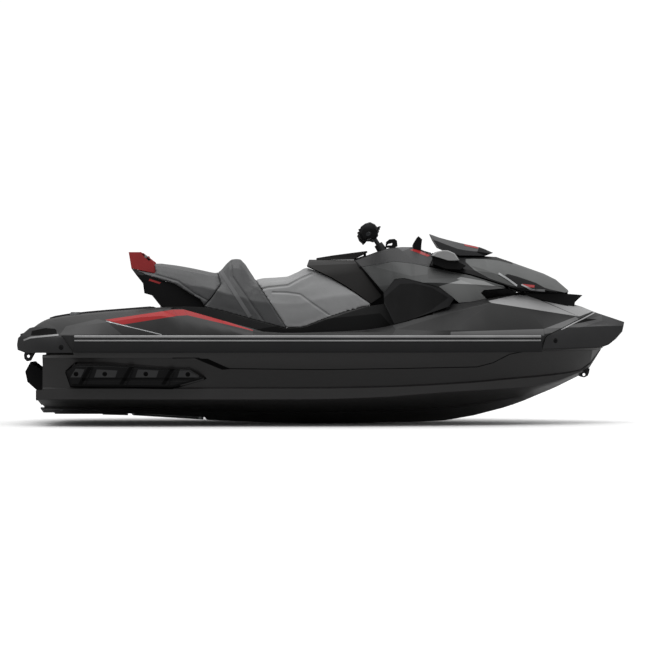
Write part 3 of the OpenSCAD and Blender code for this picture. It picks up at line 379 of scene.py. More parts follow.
def smooth_by_angle(limit):
    """Geometry nodes that shade smooth across every edge flatter than the limit."""
    group = bpy.data.node_groups.new("smooth_by_angle", "GeometryNodeTree")
    group.interface.new_socket("Mesh", in_out="INPUT", socket_type="NodeSocketGeometry")
    group.interface.new_socket("Mesh", in_out="OUTPUT", socket_type="NodeSocketGeometry")
    start, end = group.nodes.new("NodeGroupInput"), group.nodes.new("NodeGroupOutput")
    faces = group.nodes.new("GeometryNodeSetShadeSmooth")
    edges = group.nodes.new("GeometryNodeSetShadeSmooth")
    edges.domain = "EDGE"
    angle = group.nodes.new("GeometryNodeInputMeshEdgeAngle")
    flat = group.nodes.new("FunctionNodeCompare")
    flat.operation = "LESS_THAN"
    flat.inputs[1].default_value = limit
    group.links.new(start.outputs[0], faces.inputs["Geometry"])
    group.links.new(faces.outputs[0], edges.inputs["Geometry"])
    group.links.new(angle.outputs["Unsigned Angle"], flat.inputs[0])
    group.links.new(flat.outputs[0], edges.inputs["Shade Smooth"])
    group.links.new(edges.outputs[0], end.inputs[0])
    return group


SMOOTH = smooth_by_angle(math.radians(26))
BEVEL_ABOVE = math.radians(28)
BEVEL_WIDTH = 0.002


def weld(obj):
    obj.modifiers.new("weld", "WELD").merge_threshold = WELD


def finish_edges(obj):
    """Smooth shading on curved faces, and a small round along each sharp edge."""
    weld(obj)
    obj.modifiers.new("smooth", "NODES").node_group = SMOOTH
    edge = obj.modifiers.new("edge", "BEVEL")
    edge.width = BEVEL_WIDTH
    edge.segments = 2
    edge.limit_method = "ANGLE"
    edge.angle_limit = BEVEL_ABOVE
    edge.harden_normals = True


def dress_cad_nodes():
    """Gives each CAD node the finish of its slot."""
    slots = {s["node"]: s["material_slot"] for s in frame["record"]["subparts"]}
    for name, obj in nodes.items():
        obj.data.materials.clear()
        obj.data.materials.append(FINISHES[slots[name]])
        finish_edges(obj)


dress_cad_nodes()


# ---------- making pieces


def piece(name, bm, slot, material=None, body="craft", smooth=30):
    """Turns a bmesh into a piece that rides on a body, smooth below an angle in degrees; its
    material is its slot's finish unless another is given."""
    bmesh.ops.recalc_face_normals(bm, faces=bm.faces)
    mesh = bpy.data.meshes.new(name)
    bm.to_mesh(mesh)
    bm.free()
    mesh.materials.append(material or FINISHES[slot])
    mesh.shade_smooth()
    mesh.set_sharp_from_angle(angle=math.radians(smooth))
    obj = bpy.data.objects.new(name, mesh)
    scene.collection.objects.link(obj)
    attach(obj, body)
    return obj


def tree_of(*names):
    """A search tree over the surfaces of some CAD nodes."""
    points, faces = [], []
    for name in names:
        mesh = nodes[name].data
        base = len(points)
        points += [v.co.copy() for v in mesh.vertices]
        faces += [[base + i for i in p.vertices] for p in mesh.polygons]
    return BVHTree.FromPolygons(points, faces)


def side_hit(tree, point, side):
    """Where a line from far out on one side, at a point's x and z, first meets the surface,
    and the normal there."""
    return tree.ray_cast(Vector((point.x, side * 1.5, point.z)), Vector((0, -side, 0)))[:2]


def top_hit(tree, x, y):
    """Where a line from above first meets the surface, and the normal there."""
    return tree.ray_cast(Vector((x, y, 2)), Vector((0, 0, -1)))[:2]


def densely(line, step):
    """Points about a step apart along a line of points."""
    out = [line[0]]
    for a, b in zip(line, line[1:]):
        count = max(1, math.ceil((b - a).length / step))
        out += [a.lerp(b, i / count) for i in range(1, count + 1)]
    return out


def heading(line, i):
    """The way along a line of points at its point i."""
    return (line[min(i + 1, len(line) - 1)] - line[max(i - 1, 0)]).normalized()


def sweep(bm, rings):
    """Joins rings of points into one closed skin."""
    made = [[bm.verts.new(p) for p in ring] for ring in rings]
    for a, b in zip(made, made[1:]):
        for i in range(len(a)):
            j = (i + 1) % len(a)
            bm.faces.new((a[i], a[j], b[j], b[i]))
    bm.faces.new(list(reversed(made[0])))
    bm.faces.new(made[-1])


def add_tube(bm, line, radius, sides=10):
    """A round tube along points; radius is one number or one for each point."""
    radii = radius if isinstance(radius, (list, tuple)) else [radius] * len(line)
    turns = [2 * math.pi * k / sides for k in range(sides)]
    side = heading(line, 0).orthogonal().normalized()
    rings = []
    for i, (place, r) in enumerate(zip(line, radii)):
        along = heading(line, i)
        side = (side - along * side.dot(along)).normalized()
        other = along.cross(side)
        rings.append([place + r * (math.cos(t) * side + math.sin(t) * other) for t in turns])
    sweep(bm, rings)


BAND_STEP = 0.012
BAND_SINK = 0.001


def add_band(bm, tree, line, width, rise, side):
    """A flat band laid on the surface that the line meets from one side."""
    points = densely([at(x, z) for x, z in line], BAND_STEP)
    rings = []
    for i, p in enumerate(points):
        along = heading(points, i)
        across = Vector((-along.z, 0, along.x))
        hits = [side_hit(tree, p + across * width * s, side) for s in (-0.5, 0.5)]
        if all(place is not None for place, _ in hits):
            (a, a_out), (b, b_out) = hits
            rings.append([a - a_out * BAND_SINK, a + a_out * rise, b + b_out * rise,
                          b - b_out * BAND_SINK])
    if len(rings) > 1:
        sweep(bm, rings)


def band(name, node_names, line, width, rise, slot, material=None, body="craft"):
    """A flat band on both sides of some nodes, as one piece."""
    tree = tree_of(*node_names)
    bm = bmesh.new()
    for side in BOTH_SIDES:
        add_band(bm, tree, line, width, rise, side)
    piece(name, bm, slot, material, body, smooth=40)


# A patch takes the faces whose normal has this much of y or more and that lie less than this
# far in metres behind the first face met from their side; it reaches a little into them
PATCH_FACING = 0.04
PATCH_HIDDEN = 0.004
PATCH_SINK = 0.0006


def add_patch(bm, node, outline, rise, side):
    """A thin plate over the part of a node's surface within a convex side-view outline."""
    copy = bmesh.new()
    copy.from_mesh(nodes[node].data)
    bmesh.ops.remove_doubles(copy, verts=copy.verts, dist=WELD)
    for corner, inward in edges_of(outline):
        bmesh.ops.bisect_plane(copy, geom=copy.verts[:] + copy.edges[:] + copy.faces[:],
                               plane_co=corner, plane_no=-inward, clear_outer=True)
    copy.normal_update()
    tree = tree_of(node)
    away = []
    for f in copy.faces:
        centre = f.calc_center_median()
        place, _ = side_hit(tree, centre, side)
        hidden = place is None or abs(place.y - centre.y) > PATCH_HIDDEN
        if hidden or f.normal.y * side < PATCH_FACING:
            away.append(f)
    bmesh.ops.delete(copy, geom=away, context="FACES")
    copy.normal_update()
    for v in copy.verts:
        v.co += v.normal * rise
    made = {}
    lower = {}
    for v in copy.verts:
        made[v] = bm.verts.new(v.co)
        lower[v] = bm.verts.new(v.co - v.normal * (rise + PATCH_SINK))
    for f in copy.faces:
        bm.faces.new([made[v] for v in f.verts])
        bm.faces.new([lower[v] for v in reversed(f.verts)])
    for e in copy.edges:
        if len(e.link_faces) == 1:
            loop = e.link_loops[0]
            a, b = loop.vert, loop.link_loop_next.vert
            bm.faces.new((made[b], made[a], lower[a], lower[b]))
    copy.free()


def patch(name, node, outlines, rise, slot, material=None, body="craft"):
    """Thin plates on both sides of a node, as one piece."""
    bm = bmesh.new()
    for side in BOTH_SIDES:
        for outline in outlines:
            add_patch(bm, node, outline, rise, side)
    piece(name, bm, slot, material, body, smooth=40)


def add_bolt(bm, place, normal, radius, height=0.003, sides=16, socket=True):
    """A domed bolt head with a round socket, on a thin washer."""
    up = normal.normalized()
    a = up.orthogonal().normalized()
    b = up.cross(a)
    turns = [2 * math.pi * k / sides for k in range(sides)]
    # Share of the bolt's radius, and height over the surface
    profile = [(1.35, -0.001), (1.35, 0.0008), (1.02, 0.0012), (1.0, height * 0.5),
               (0.86, height * 0.9), (0.55, height)]
    if socket:
        profile += [(0.45, height), (0.42, height * 0.35)]
    sweep(bm, [[place + up * lift + radius * share * (math.cos(t) * a + math.sin(t) * b) for t in turns]
               for share, lift in profile])


def bolts(name, spots, radius, slot, material=None):
    """Bolt heads at (place, normal) pairs, as one piece."""
    bm = bmesh.new()
    for place, normal in spots:
        if place is not None:
            add_bolt(bm, place, normal, radius)
    piece(name, bm, slot, material, smooth=35)


def on_sides(node, points):
    """Where the (x, z) points meet a node on each side, and the normals there."""
    tree = tree_of(node)
    return [side_hit(tree, at(x, z), side) for x, z in points for side in BOTH_SIDES]


# ---------- seats


def shell_of(name, node, voxel):
    """A fine even mesh over a CAD node's solid, as a new object."""
    obj = bpy.data.objects.new(name, nodes[node].data.copy())
    scene.collection.objects.link(obj)
    weld(obj)
    remesh = obj.modifiers.new("remesh", "REMESH")
    remesh.mode = "VOXEL"
    remesh.voxel_size = voxel
    return obj, settle(obj)


def settle(obj):
    """Applies an object's modifiers to its mesh."""
    graph = bpy.context.evaluated_depsgraph_get()
    mesh = bpy.data.meshes.new_from_object(obj.evaluated_get(graph), depsgraph=graph)
    obj.modifiers.clear()
    obj.data = mesh
    return mesh


def rows_of(items, key):
    """One vector of each item, as an array with three columns."""
    values = np.empty(len(items) * 3)
    items.foreach_get(key, values)
    return values.reshape(-1, 3)


def points_and_normals(mesh):
    return rows_of(mesh.vertices, "co"), rows_of(mesh.vertex_normals, "vector")


def place_vertices(mesh, points):
    mesh.vertices.foreach_set("co", points.reshape(-1))
    mesh.update()


INFLATE_FRAMES = 14


def inflate(obj, pinned, pressure):
    """Runs cloth with air pressure inside, then keeps the shape that it reaches."""
    obj.vertex_groups.new(name="pin").add([int(i) for i in pinned], 1.0, "REPLACE")
    cloth = obj.modifiers.new("cloth", "CLOTH")
    settings = cloth.settings
    settings.quality = 5
    settings.mass = 0.3
    settings.tension_stiffness = settings.compression_stiffness = 12
    settings.shear_stiffness = 8
    settings.bending_stiffness = 1.5
    settings.use_pressure = True
    settings.uniform_pressure_force = pressure
    settings.vertex_group_mass = "pin"
    settings.effector_weights.gravity = 0
    cloth.point_cache.frame_start = 1
    cloth.point_cache.frame_end = INFLATE_FRAMES
    for f in range(1, INFLATE_FRAMES + 1):
        scene.frame_set(f)
    mesh = settle(obj)
    scene.frame_set(1)
    return mesh


# A cushion's limits in metres: how far its neighbours are looked for, from how far below its
# own face, how much of the distance found is kept clear, the room below which a point stays
# at home, and how far a point may sink in or slide sideways
LOOK = 0.03
LOOK_FROM = 0.002
CLEAR = 0.0045
LEAST_ROOM = 0.004
MOST_SINK = 0.0015
MOST_SLIDE = 0.004


def room_over(home, normals, neighbours, cap):
    """How far each point of a cushion may swell outward, up to a cap."""
    if not neighbours:
        return np.full(len(home), cap)
    tree = tree_of(*neighbours)
    room = []
    for p, n in zip(home, normals):
        distance = tree.ray_cast(Vector(p) - Vector(n) * LOOK_FROM, Vector(n), LOOK)[3] or LOOK
        room.append(min(cap, distance - CLEAR))
    return np.maximum(room, 0.0)


def cushion(name, node, neighbours, slot, voxel=0.007, cap=0.006, shrink=0.003, seams=(),
            pressure=3.0, body="craft", pins=True):
    """A padded piece blown up from a CAD solid; it keeps clear of its neighbours, and seams
    are drawn in along the side-view lines given."""
    obj, mesh = shell_of(name, node, voxel)
    mesh.materials.clear()
    mesh.materials.append(FINISHES[slot])
    home, normals = points_and_normals(mesh)
    room = room_over(home, normals, neighbours, cap)
    free = room > LEAST_ROOM if pins else np.full(len(home), True)
    place_vertices(mesh, home - normals * (shrink * free)[:, None])
    mesh = inflate(obj, np.nonzero(~free)[0], pressure)
    swollen = rows_of(mesh.vertices, "co")
    move = swollen - home
    out = np.einsum("ij,ij->i", move, normals)
    move += normals * (np.clip(out, -MOST_SINK, room) - out)[:, None]
    sideways = move - normals * np.einsum("ij,ij->i", move, normals)[:, None]
    far = np.linalg.norm(sideways, axis=1)
    move -= sideways * np.clip(1 - MOST_SLIDE / np.maximum(far, 1e-9), 0, 1)[:, None]
    place_vertices(mesh, home + move * free[:, None])
    smooth_vertices(mesh, 2)
    divide = obj.modifiers.new("divide", "SUBSURF")
    divide.levels = divide.render_levels = 1
    mesh = settle(obj)
    draw_in(mesh, seams)
    mesh.shade_smooth()
    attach(obj, body)
    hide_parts(node)
    return obj


def smooth_vertices(mesh, times):
    """Evens out the steps that a voxel remesh leaves, without shrinking the whole."""
    ends = np.empty(len(mesh.edges) * 2, dtype=int)
    mesh.edges.foreach_get("vertices", ends)
    ends = ends.reshape(-1, 2)
    count = np.bincount(ends.ravel(), minlength=len(mesh.vertices))[:, None]
    points = rows_of(mesh.vertices, "co")
    for _ in range(times):
        for factor in (0.6, -0.5):
            total = np.zeros_like(points)
            np.add.at(total, ends[:, 0], points[ends[:, 1]])
            np.add.at(total, ends[:, 1], points[ends[:, 0]])
            points = points + factor * (total / np.maximum(count, 1) - points)
    place_vertices(mesh, points)


def distance_to_line(points, line):
    """Distance of each (x, z) point from a polyline."""
    best = np.full(len(points), np.inf)
    for a, b in zip(line, line[1:]):
        ab = b - a
        t = np.clip(((points - a) @ ab) / (ab @ ab), 0, 1)
        best = np.minimum(best, np.linalg.norm(points - (a + t[:, None] * ab), axis=1))
    return best


def draw_in(mesh, seams):
    """Sinks a groove along each seam: (line, half width, depth and least half-breadth in m)."""
    points, normals = points_and_normals(mesh)
    sink = np.zeros(len(points))
    for line, width, depth, breadth in seams:
        flat = np.array([at(x, z).xz for x, z in line])
        far = distance_to_line(points[:, [0, 2]], flat)
        sideways = np.abs(points[:, 1]) > breadth
        sink = np.maximum(sink, depth * np.exp(-(far / width) ** 2) * sideways)
    place_vertices(mesh, points - normals * sink[:, None])


def tree_of_object(obj):
    return BVHTree.FromPolygons([v.co.copy() for v in obj.data.vertices],
                                [list(p.vertices) for p in obj.data.polygons])


STITCH_PITCH = 0.011
STITCH_LENGTH = 0.007
STITCH_OFFSET = 0.007
# Lift off the vinyl and radius of the thread at the start, middle and end of a stitch
STITCH_LIFT = (-0.0004, 0.0007, -0.0004)
STITCH_RADIUS = (0.0005, 0.0009, 0.0005)
STITCH_STEP = 0.008


def stitches(name, obj, line):
    """A row of thread stitches beside a side-view line, on both sides of a cushion."""
    tree = tree_of_object(obj)
    bm = bmesh.new()
    for side in BOTH_SIDES:
        points = densely([at(x, z) for x, z in line], STITCH_PITCH)
        for a, b in zip(points, points[1:]):
            along = (b - a).normalized()
            across = Vector((-along.z, 0, along.x)) * STITCH_OFFSET
            hits = [side_hit(tree, a + along * s + across, side)
                    for s in (0, STITCH_LENGTH / 2, STITCH_LENGTH)]
            if any(p is None for p, _ in hits) or abs(hits[0][0].y - hits[2][0].y) > STITCH_STEP:
                continue
            add_tube(bm, [p + n * lift for (p, n), lift in zip(hits, STITCH_LIFT)], STITCH_RADIUS, 6)
    piece(name, bm, "seat_grey", SEAM_THREAD)


# Side-view lines on the seats
SEAM_TOP = [(-330, 722), (-277, 738), (-167, 749), (-96, 788), (-40, 812)]
SEAM_LOW = [(-250, 712), (-167, 710), (-101, 700), (-41, 655), (53, 590)]
BOLSTER_FACET = [(-478, 880), (-470, 800), (-300, 560)]
REAR_SEAM = [(-985, 836), (-872, 805), (-760, 772), (-670, 706), (-600, 668)]
STRAP = [(-530, 826), (-351, 551)]

front = cushion("front_seat_pad", "front_seat", ["seat_bolster", "glove_box_housing", "deck"],
                "seat_light", seams=[(SEAM_TOP, 0.006, 0.004, 0.06), (SEAM_LOW, 0.005, 0.003, 0.06)])
bolster = cushion("seat_bolster_pad", "seat_bolster", ["front_seat", "rear_seat", "deck"],
                  "seat_grey", seams=[(BOLSTER_FACET, 0.006, 0.003, 0.05)])
rear = cushion("rear_seat_pad", "rear_seat", ["seat_bolster", "rear_seat_base", "grab_handle", "deck"],
               "seat_grey", seams=[(REAR_SEAM, 0.005, 0.003, 0.04)])
stitches("front_seat_stitches", front, SEAM_TOP)
stitches("front_seat_low_stitches", front, SEAM_LOW)
stitches("bolster_stitches", bolster, BOLSTER_FACET)
stitches("rear_seat_stitches", rear, REAR_SEAM)


def bolster_strap():
    """A flat webbing strap down each side of the bolster."""
    tree = tree_of_object(bolster)
    bm = bmesh.new()
    for side in BOTH_SIDES:
        add_band(bm, tree, STRAP, 0.020, 0.0022, side)
    piece("bolster_strap", bm, "seat_grey", WEBBING, smooth=40)


bolster_strap()


# ---------- hull and deck

RAIL_AFT, RAIL_FORE = -1279, 1178


def rail_highlight_bead(name, height, radius):
    """A half-round bead along each rub rail, coloured light as a painted highlight."""
    tree = tree_of("rub_rails")
    bm = bmesh.new()
    for side in BOTH_SIDES:
        spots = [side_hit(tree, at(x, height), side)[0]
                 for x in np.linspace(RAIL_AFT, RAIL_FORE, 100)]
        add_tube(bm, [p for p in spots if p is not None], radius)
    piece(name, bm, "rail_vinyl", BEAD_HIGHLIGHT)


rail_highlight_bead("rail_top_bead", 475, 0.0075)
rail_highlight_bead("rail_low_bead", 454, 0.0045)

SPONSON_EDGE = [(-1328, 291), (-1277, 335), (-1070, 333), (-800, 311), (-681, 310), (-594, 257),
                (-768, 205), (-1303, 213), (-1328, 291)]
# Painted shade: a near-black band on the hull round each sponson, where sponson and hull meet
band("sponson_edge_shade", ["hull"], SPONSON_EDGE, 0.012, 0.0016, "black_gloss", PITCH)
BLADES = [[(x - 34, 226), (x - 12, 226), (x + 40, 316), (x + 18, 316)] for x in (-1225, -1010, -790)]
POCKETS = [[(x, 262), (x + 110, 262), (x + 122, 298), (x + 14, 304)] for x in (-1175, -960, -740)]
AFT_POCKET = [(-1300, 262), (-1245, 262), (-1225, 304), (-1272, 308)]
patch("sponson_blades", "sponsons", BLADES, 0.0016, "black_gloss", PITCH)
patch("sponson_pockets", "sponsons", POCKETS + [AFT_POCKET], 0.0009, "black_gloss", POCKET)
bolts("sponson_bolts", on_sides("sponsons", [(-1270, 280), (-1120, 280), (-905, 280), (-685, 278)]),
      0.010, "fitting_black", PITCH)
# Painted shade: a near-black plate over the notch in the hull's side
patch("hull_notch_shade", "hull", [[(-649, 362), (-580, 360), (-463, 306), (-505, 302)]], 0.0008,
      "black_gloss", PITCH)
# Painted shade: a near-black band along the groove in the hull's side
HULL_GROOVE = [(-765, 364), (-630, 364), (-467, 308), (7, 303), (421, 308), (836, 315), (923, 337),
               (1009, 381), (1113, 401), (1165, 415)]
band("hull_groove_shade", ["hull"], HULL_GROOVE, 0.004, 0.0006, "black_gloss", PITCH)

band("deck_trim_line", ["deck"], [(-1117, 556), (-822, 486)], 0.004, 0.0012, "anchor_metal", BRIGHT)
# Painted shade: a near-black plate in the stern bumper's recess
patch("stern_bumper_recess_shade", "stern_bumpers",
      [[(-1519, 482), (-1515, 505), (-1440, 520), (-1382, 516), (-1372, 484)]], 0.0008,
      "black_gloss", PITCH)
# A light bead along the stern bumper's lip: painted highlight
band("stern_bumper_lip", ["stern_bumpers"], [(-1560, 456), (-1520, 470), (-1366, 484)], 0.009, 0.002,
     "rail_vinyl", BEAD_HIGHLIGHT)
bolts("stern_bumper_bolts", on_sides("stern_bumpers", [(-1351, 419)]), 0.010, "black_gloss")
# Painted shade: a near-black plate in the bow bumper's recess
patch("bow_bumper_recess_shade", "bow_bumper", [[(1276, 503), (1416, 574), (1505, 567), (1324, 531)]],
      0.0008, "black_gloss", PITCH)
# A light bead along the bow bumper's lip: painted highlight
band("bow_bumper_lip", ["bow_bumper"], [(1232, 484), (1326, 525), (1424, 568), (1500, 604)],
     0.006, 0.0016, "rail_vinyl", BEAD_HIGHLIGHT)
bolts("bow_bumper_bolts", on_sides("bow_bumper", [(1262, 453)]), 0.010, "black_gloss")


# Ribs on the foam mats, in metres: section, pitch across the craft, spacing of the points
# along a rib, and the strip beside a rib that has to be level
RIB_WIDTH = 0.0055
RIB_HEIGHT = 0.0022
RIB_SLOPE = 0.0012
RIB_SINK = 0.001
RIB_PITCH = 0.018
RIB_STEP = 0.03
RIB_STRIP = 0.003
# Rims of the mats' box without ribs, aft, fore, starboard and port
RIM_AFT, RIM_FORE, RIM_STARBOARD, RIM_PORT = 0.016, 0.012, 0.02, 0.014
# Where a rib ends: a normal with less z, a tilt across it or a step along it
LEAST_UP = 0.8
MOST_TILT = 0.006
MOST_STEP = 0.02


def rib_ends(tree, x, y):
    """The two sides of a rib at x and y, or None where the mat isn't whole and level."""
    half = RIB_WIDTH / 2
    hits = [top_hit(tree, x, y + d) for d in (-half - RIB_STRIP, half + RIB_STRIP)]
    if any(place is None or normal.z <= LEAST_UP for place, normal in hits):
        return None
    (a, _), (b, _) = hits
    if abs(a.z - b.z) >= MOST_TILT:
        return None
    return Vector((a.x, y - half, a.z)), Vector((b.x, y + half, b.z))


def rib_runs(tree, y, aft, fore):
    """Stretches of the rib at y, broken where the mats end or step."""
    runs = [[]]
    for x in np.arange(aft, fore, RIB_STEP):
        ends = rib_ends(tree, x, y)
        stepped = ends and runs[-1] and abs(runs[-1][-1][0].z - ends[0].z) > MOST_STEP
        if ends and not stepped:
            runs[-1].append(ends)
        else:
            runs.append([])
    return [run for run in runs if len(run) > 2]


def traction_mats():
    """The foam mats, each with long ribs moulded on its top."""
    tree = tree_of("deck_mats")
    low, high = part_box("deck_mats")
    bm = bmesh.new()
    bm.from_mesh(nodes["deck_mats"].data)
    bmesh.ops.remove_doubles(bm, verts=bm.verts, dist=WELD)
    top, foot = Vector((0, 0, RIB_HEIGHT)), Vector((0, 0, -RIB_SINK))
    slope = Vector((0, RIB_SLOPE, 0))
    for y in np.arange(low.y + RIM_STARBOARD, high.y - RIM_PORT, RIB_PITCH):
        for run in rib_runs(tree, y, low.x + RIM_AFT, high.x - RIM_FORE):
            sweep(bm, [[a + foot, b + foot, b + top - slope, a + top + slope] for a, b in run])
    obj = piece("traction_mats", bm, "traction_mat", smooth=35)
    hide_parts("deck_mats")


traction_mats()


# ---------- seat base and glove box

patch("base_red_line", "rear_seat_base", [[(-915, 786), (-853, 766), (-862, 758), (-920, 776)]], 0.0008,
      "red_plastic")
# Painted shade: a near-black plate in the grab handle's opening
patch("handle_recess_shade", "grab_handle", [[(-962, 924), (-944, 922), (-908, 892), (-922, 884)]], 0.0008,
      "black_gloss", PITCH)
bolts("handle_bolts", on_sides("grab_handle", [(-938, 907)]), 0.006, "anchor_metal", BRIGHT)


def add_wedge(bm, outline, half):
    """A side-view outline as a solid across the craft, to a half-breadth on each side."""
    corners = [at(x, z) for x, z in outline]
    sweep(bm, [[p + Vector((0, y, 0)) for p in corners] for y in (-half, half)])


def lid_seals():
    """Rubber seals that close the gaps under the two lids."""
    bm = bmesh.new()
    add_wedge(bm, [(191, 880), (191, 894), (243, 913), (243, 890)], 0.075)
    add_wedge(bm, [(1085, 690), (1085, 714.5), (1110, 715), (1334, 714), (1334, 690)], 0.1)
    piece("lid_seals", bm, "boot_rubber")


lid_seals()


# ---------- console and hood

patch("console_red_strip", "console_cover", [[(492, 943), (524, 951), (602, 912), (586, 905)]], 0.0009,
      "red_plastic")


def louvre(x):
    """A louvre that starts at x, in a row that falls by 42 mm in 100."""
    fall = 0.42 * (x - 510)
    return [(x, 966 - fall), (x + 12, 961 - fall), (x + 14, 949 - fall), (x + 3, 953 - fall)]


patch("console_louvres", "console_cover", [louvre(x) for x in (516, 536, 556, 576)],
      0.0018, "black_gloss")
patch("cowl_red_mark", "cowl", [[(787, 976), (866, 958), (862, 951), (792, 966)]], 0.0009,
      "red_plastic", body="front_lid")
patch("cowl_nose", "cowl", [[(872, 962), (950, 930), (903, 912), (856, 930)]], 0.0009,
      "black_gloss", body="front_lid")
patch("hood_red_mark", "front_lid", [[(1090, 757), (1160, 750), (1158, 737), (1122, 739)]], 0.0012,
      "red_plastic", body="front_lid")
HOOD = ["front_lid", "hood_panels"]
band("hood_fin", HOOD, [(964, 812), (1010, 784), (1062, 746)], 0.010, 0.003, "silver_paint", BRIGHT,
     body="front_lid")
band("hood_lower_fin", HOOD, [(1086, 752), (1146, 726), (1216, 722)], 0.008, 0.003, "silver_paint", BRIGHT,
     body="front_lid")
for i, z in enumerate((722, 708, 694)):
    band(f"scoop_slat_{i}", ["console_core"], [(884 + 6 * i, z), (985 - 22 * i, z + 4)], 0.003, 0.003,
         "black_gloss")


def face_ring(foot, top, inner, outer, rim, height):
    """Corners of a plate on a slanting face that looks aft, between two half-breadths, set in
    by a rim from the face's foot and top, at a height off it."""
    up = (top - foot).normalized()
    out = Vector((-up.z, 0, up.x))
    far = (top - foot).length - rim
    return [foot + up * along + out * height + Vector((0, y, 0))
            for y, along in ((inner, rim), (outer, rim), (outer, far), (inner, far))]


DISPLAY_FOOT, DISPLAY_TOP, DISPLAY_HALF = at(512, 974), at(540, 1019), 0.043
SCREEN_SLOPE = 0.0012
MIRROR_FOOT, MIRROR_TOP = at(600, 906), at(619.5, 925.5)
MIRROR_INNER, MIRROR_OUTER, MIRROR_RIM = 0.231, 0.293, 0.003


def screen(name, inset, rise, material=None):
    """A plate on the display's face, set in from its edge, with a sloped edge of its own."""
    rings = []
    for rim, height in ((inset, -0.001), (inset, rise * 0.6), (inset + SCREEN_SLOPE, rise)):
        half = DISPLAY_HALF - rim
        rings.append(face_ring(DISPLAY_FOOT, DISPLAY_TOP, -half, half, rim, height))
    bm = bmesh.new()
    sweep(bm, rings)
    piece(name, bm, "black_gloss", material)


screen("display_frame", 0.004, 0.0015)
screen("display_glass", 0.009, 0.0022, SCREEN)


def mirror_glass():
    """A glass on the face of each mirror that looks aft."""
    bm = bmesh.new()
    for side in BOTH_SIDES:
        inner, outer = side * MIRROR_INNER, side * MIRROR_OUTER
        sweep(bm, [face_ring(MIRROR_FOOT, MIRROR_TOP, inner, outer, MIRROR_RIM, height)
                   for height in (-0.001, 0.001)])
    piece("mirror_glass", bm, "silver_paint", MIRROR_GLASS, "front_lid")


mirror_glass()


# ---------- handlebar

joints = {joint["name"]: joint for joint in frame["joints"]}
COLUMN = Vector(joints["steering_column"]["pos_m"])
COLUMN_UP = Vector(joints["steering_column"]["axis"]).normalized()
COLUMN_FORE = Vector((COLUMN_UP.z, 0, -COLUMN_UP.x))
BAR_RISE, BAR_STRAIGHT, BAR_SWEEP = 0.110, 0.110, 0.030
GRIP_INNER = 0.262
GRIP_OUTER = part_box("grips")[1].y
GRIP_FLANGE, GRIP_RIB, GRIP_VALLEY = 0.026, 0.0182, 0.0165
GRIP_PITCH = 0.0074


def bar_at(y, fore=0.0, up=0.0):
    """A point at half-breadth y on the handlebar's axis, or off it."""
    swept = -BAR_SWEEP * max(0.0, abs(y) - BAR_STRAIGHT) / (GRIP_OUTER - BAR_STRAIGHT)
    return COLUMN + COLUMN_FORE * (swept + fore) + Vector((0, y, 0)) + COLUMN_UP * (BAR_RISE + up)


def grips():
    """Ribbed rubber grips with a flange inboard and a bar end outboard."""
    low, high = GRIP_INNER, GRIP_OUTER
    profile = [(low, 0.0125), (low, GRIP_FLANGE), (low + 0.004, GRIP_FLANGE), (low + 0.005, 0.0175)]
    y = low + 0.008
    while y < high - 0.014:
        profile += [(y, GRIP_VALLEY), (y + 0.0016, GRIP_RIB), (y + 0.0042, GRIP_RIB),
                    (y + 0.0056, GRIP_VALLEY)]
        y += GRIP_PITCH
    profile += [(high - 0.006, GRIP_RIB), (high - 0.001, GRIP_VALLEY), (high, 0.010)]
    bm = bmesh.new()
    for side in BOTH_SIDES:
        add_tube(bm, [bar_at(side * y) for y, _ in profile], [r for _, r in profile], 20)
    obj = piece("ribbed_grips", bm, "grip_rubber", body="steering", smooth=25)
    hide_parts("grips")


grips()

# Section of a switch housing with its hand guard, forward of and above the bar in metres
HOUSING = [(-0.054, 0.036), (-0.022, 0.058), (0.006, 0.060), (0.034, 0.052), (0.050, 0.026),
           (0.046, -0.008), (0.030, -0.036), (0.004, -0.044), (-0.012, -0.026), (-0.030, -0.012),
           (-0.052, -0.020), (-0.060, 0.006)]
# Half-breadths of the housing with the size of its section there
HOUSING_SIZES = [(0.186, 0.25), (0.189, 0.62), (0.204, 0.92), (0.226, 1.0), (0.246, 0.94),
                 (0.256, 0.7), (0.2595, 0.4)]
# Points of the hand and thumb levers: half-breadth, forward of and above the bar
LEVER = [(0.222, 0.030, 0.0), (0.238, 0.046, -0.004), (0.262, 0.056, -0.006),
         (0.305, 0.052, -0.006), (0.345, 0.047, -0.004), (0.366, 0.047, -0.002)]
THUMB_LEVER = [(0.212, -0.020, -0.010), (0.226, -0.038, -0.016), (0.252, -0.046, -0.018)]
LEVER_RADIUS, LEVER_TAPER, THUMB_RADIUS = 0.0075, 0.003, 0.006
# Half-breadths of the buttons, and their radius and height
BUTTONS = [0.212, 0.227, 0.242]
BUTTON_RADIUS, BUTTON_HEIGHT = 0.0046, 0.007


def controls():
    """Switch housings with hand guards and buttons, and the levers of throttle and reverse."""
    bm = bmesh.new()
    for side in BOTH_SIDES:
        sweep(bm, [[bar_at(side * y, size * fore, size * up) for fore, up in HOUSING]
                   for y, size in HOUSING_SIZES])
        path = densely([bar_at(side * y, fore, up) for y, fore, up in LEVER], 0.012)
        add_tube(bm, path, [LEVER_RADIUS - LEVER_TAPER * i / len(path) for i in range(len(path))], 12)
        path = densely([bar_at(side * y, fore, up) for y, fore, up in THUMB_LEVER], 0.008)
        add_tube(bm, path, THUMB_RADIUS)
        for y in BUTTONS:
            add_bolt(bm, bar_at(side * y, -0.036, 0.046), COLUMN_UP * 0.8 - COLUMN_FORE * 0.6,
                     BUTTON_RADIUS, BUTTON_HEIGHT, 12, socket=False)
    piece("switch_housings", bm, "black_plastic", body="steering", smooth=24)


controls()
cushion("steering_pad_cover", "steering_pad", [], "pad_foam", voxel=0.004, cap=0.004, shrink=0.002,
        body="steering", pressure=4.0, pins=False)


# ---------- stern and pump

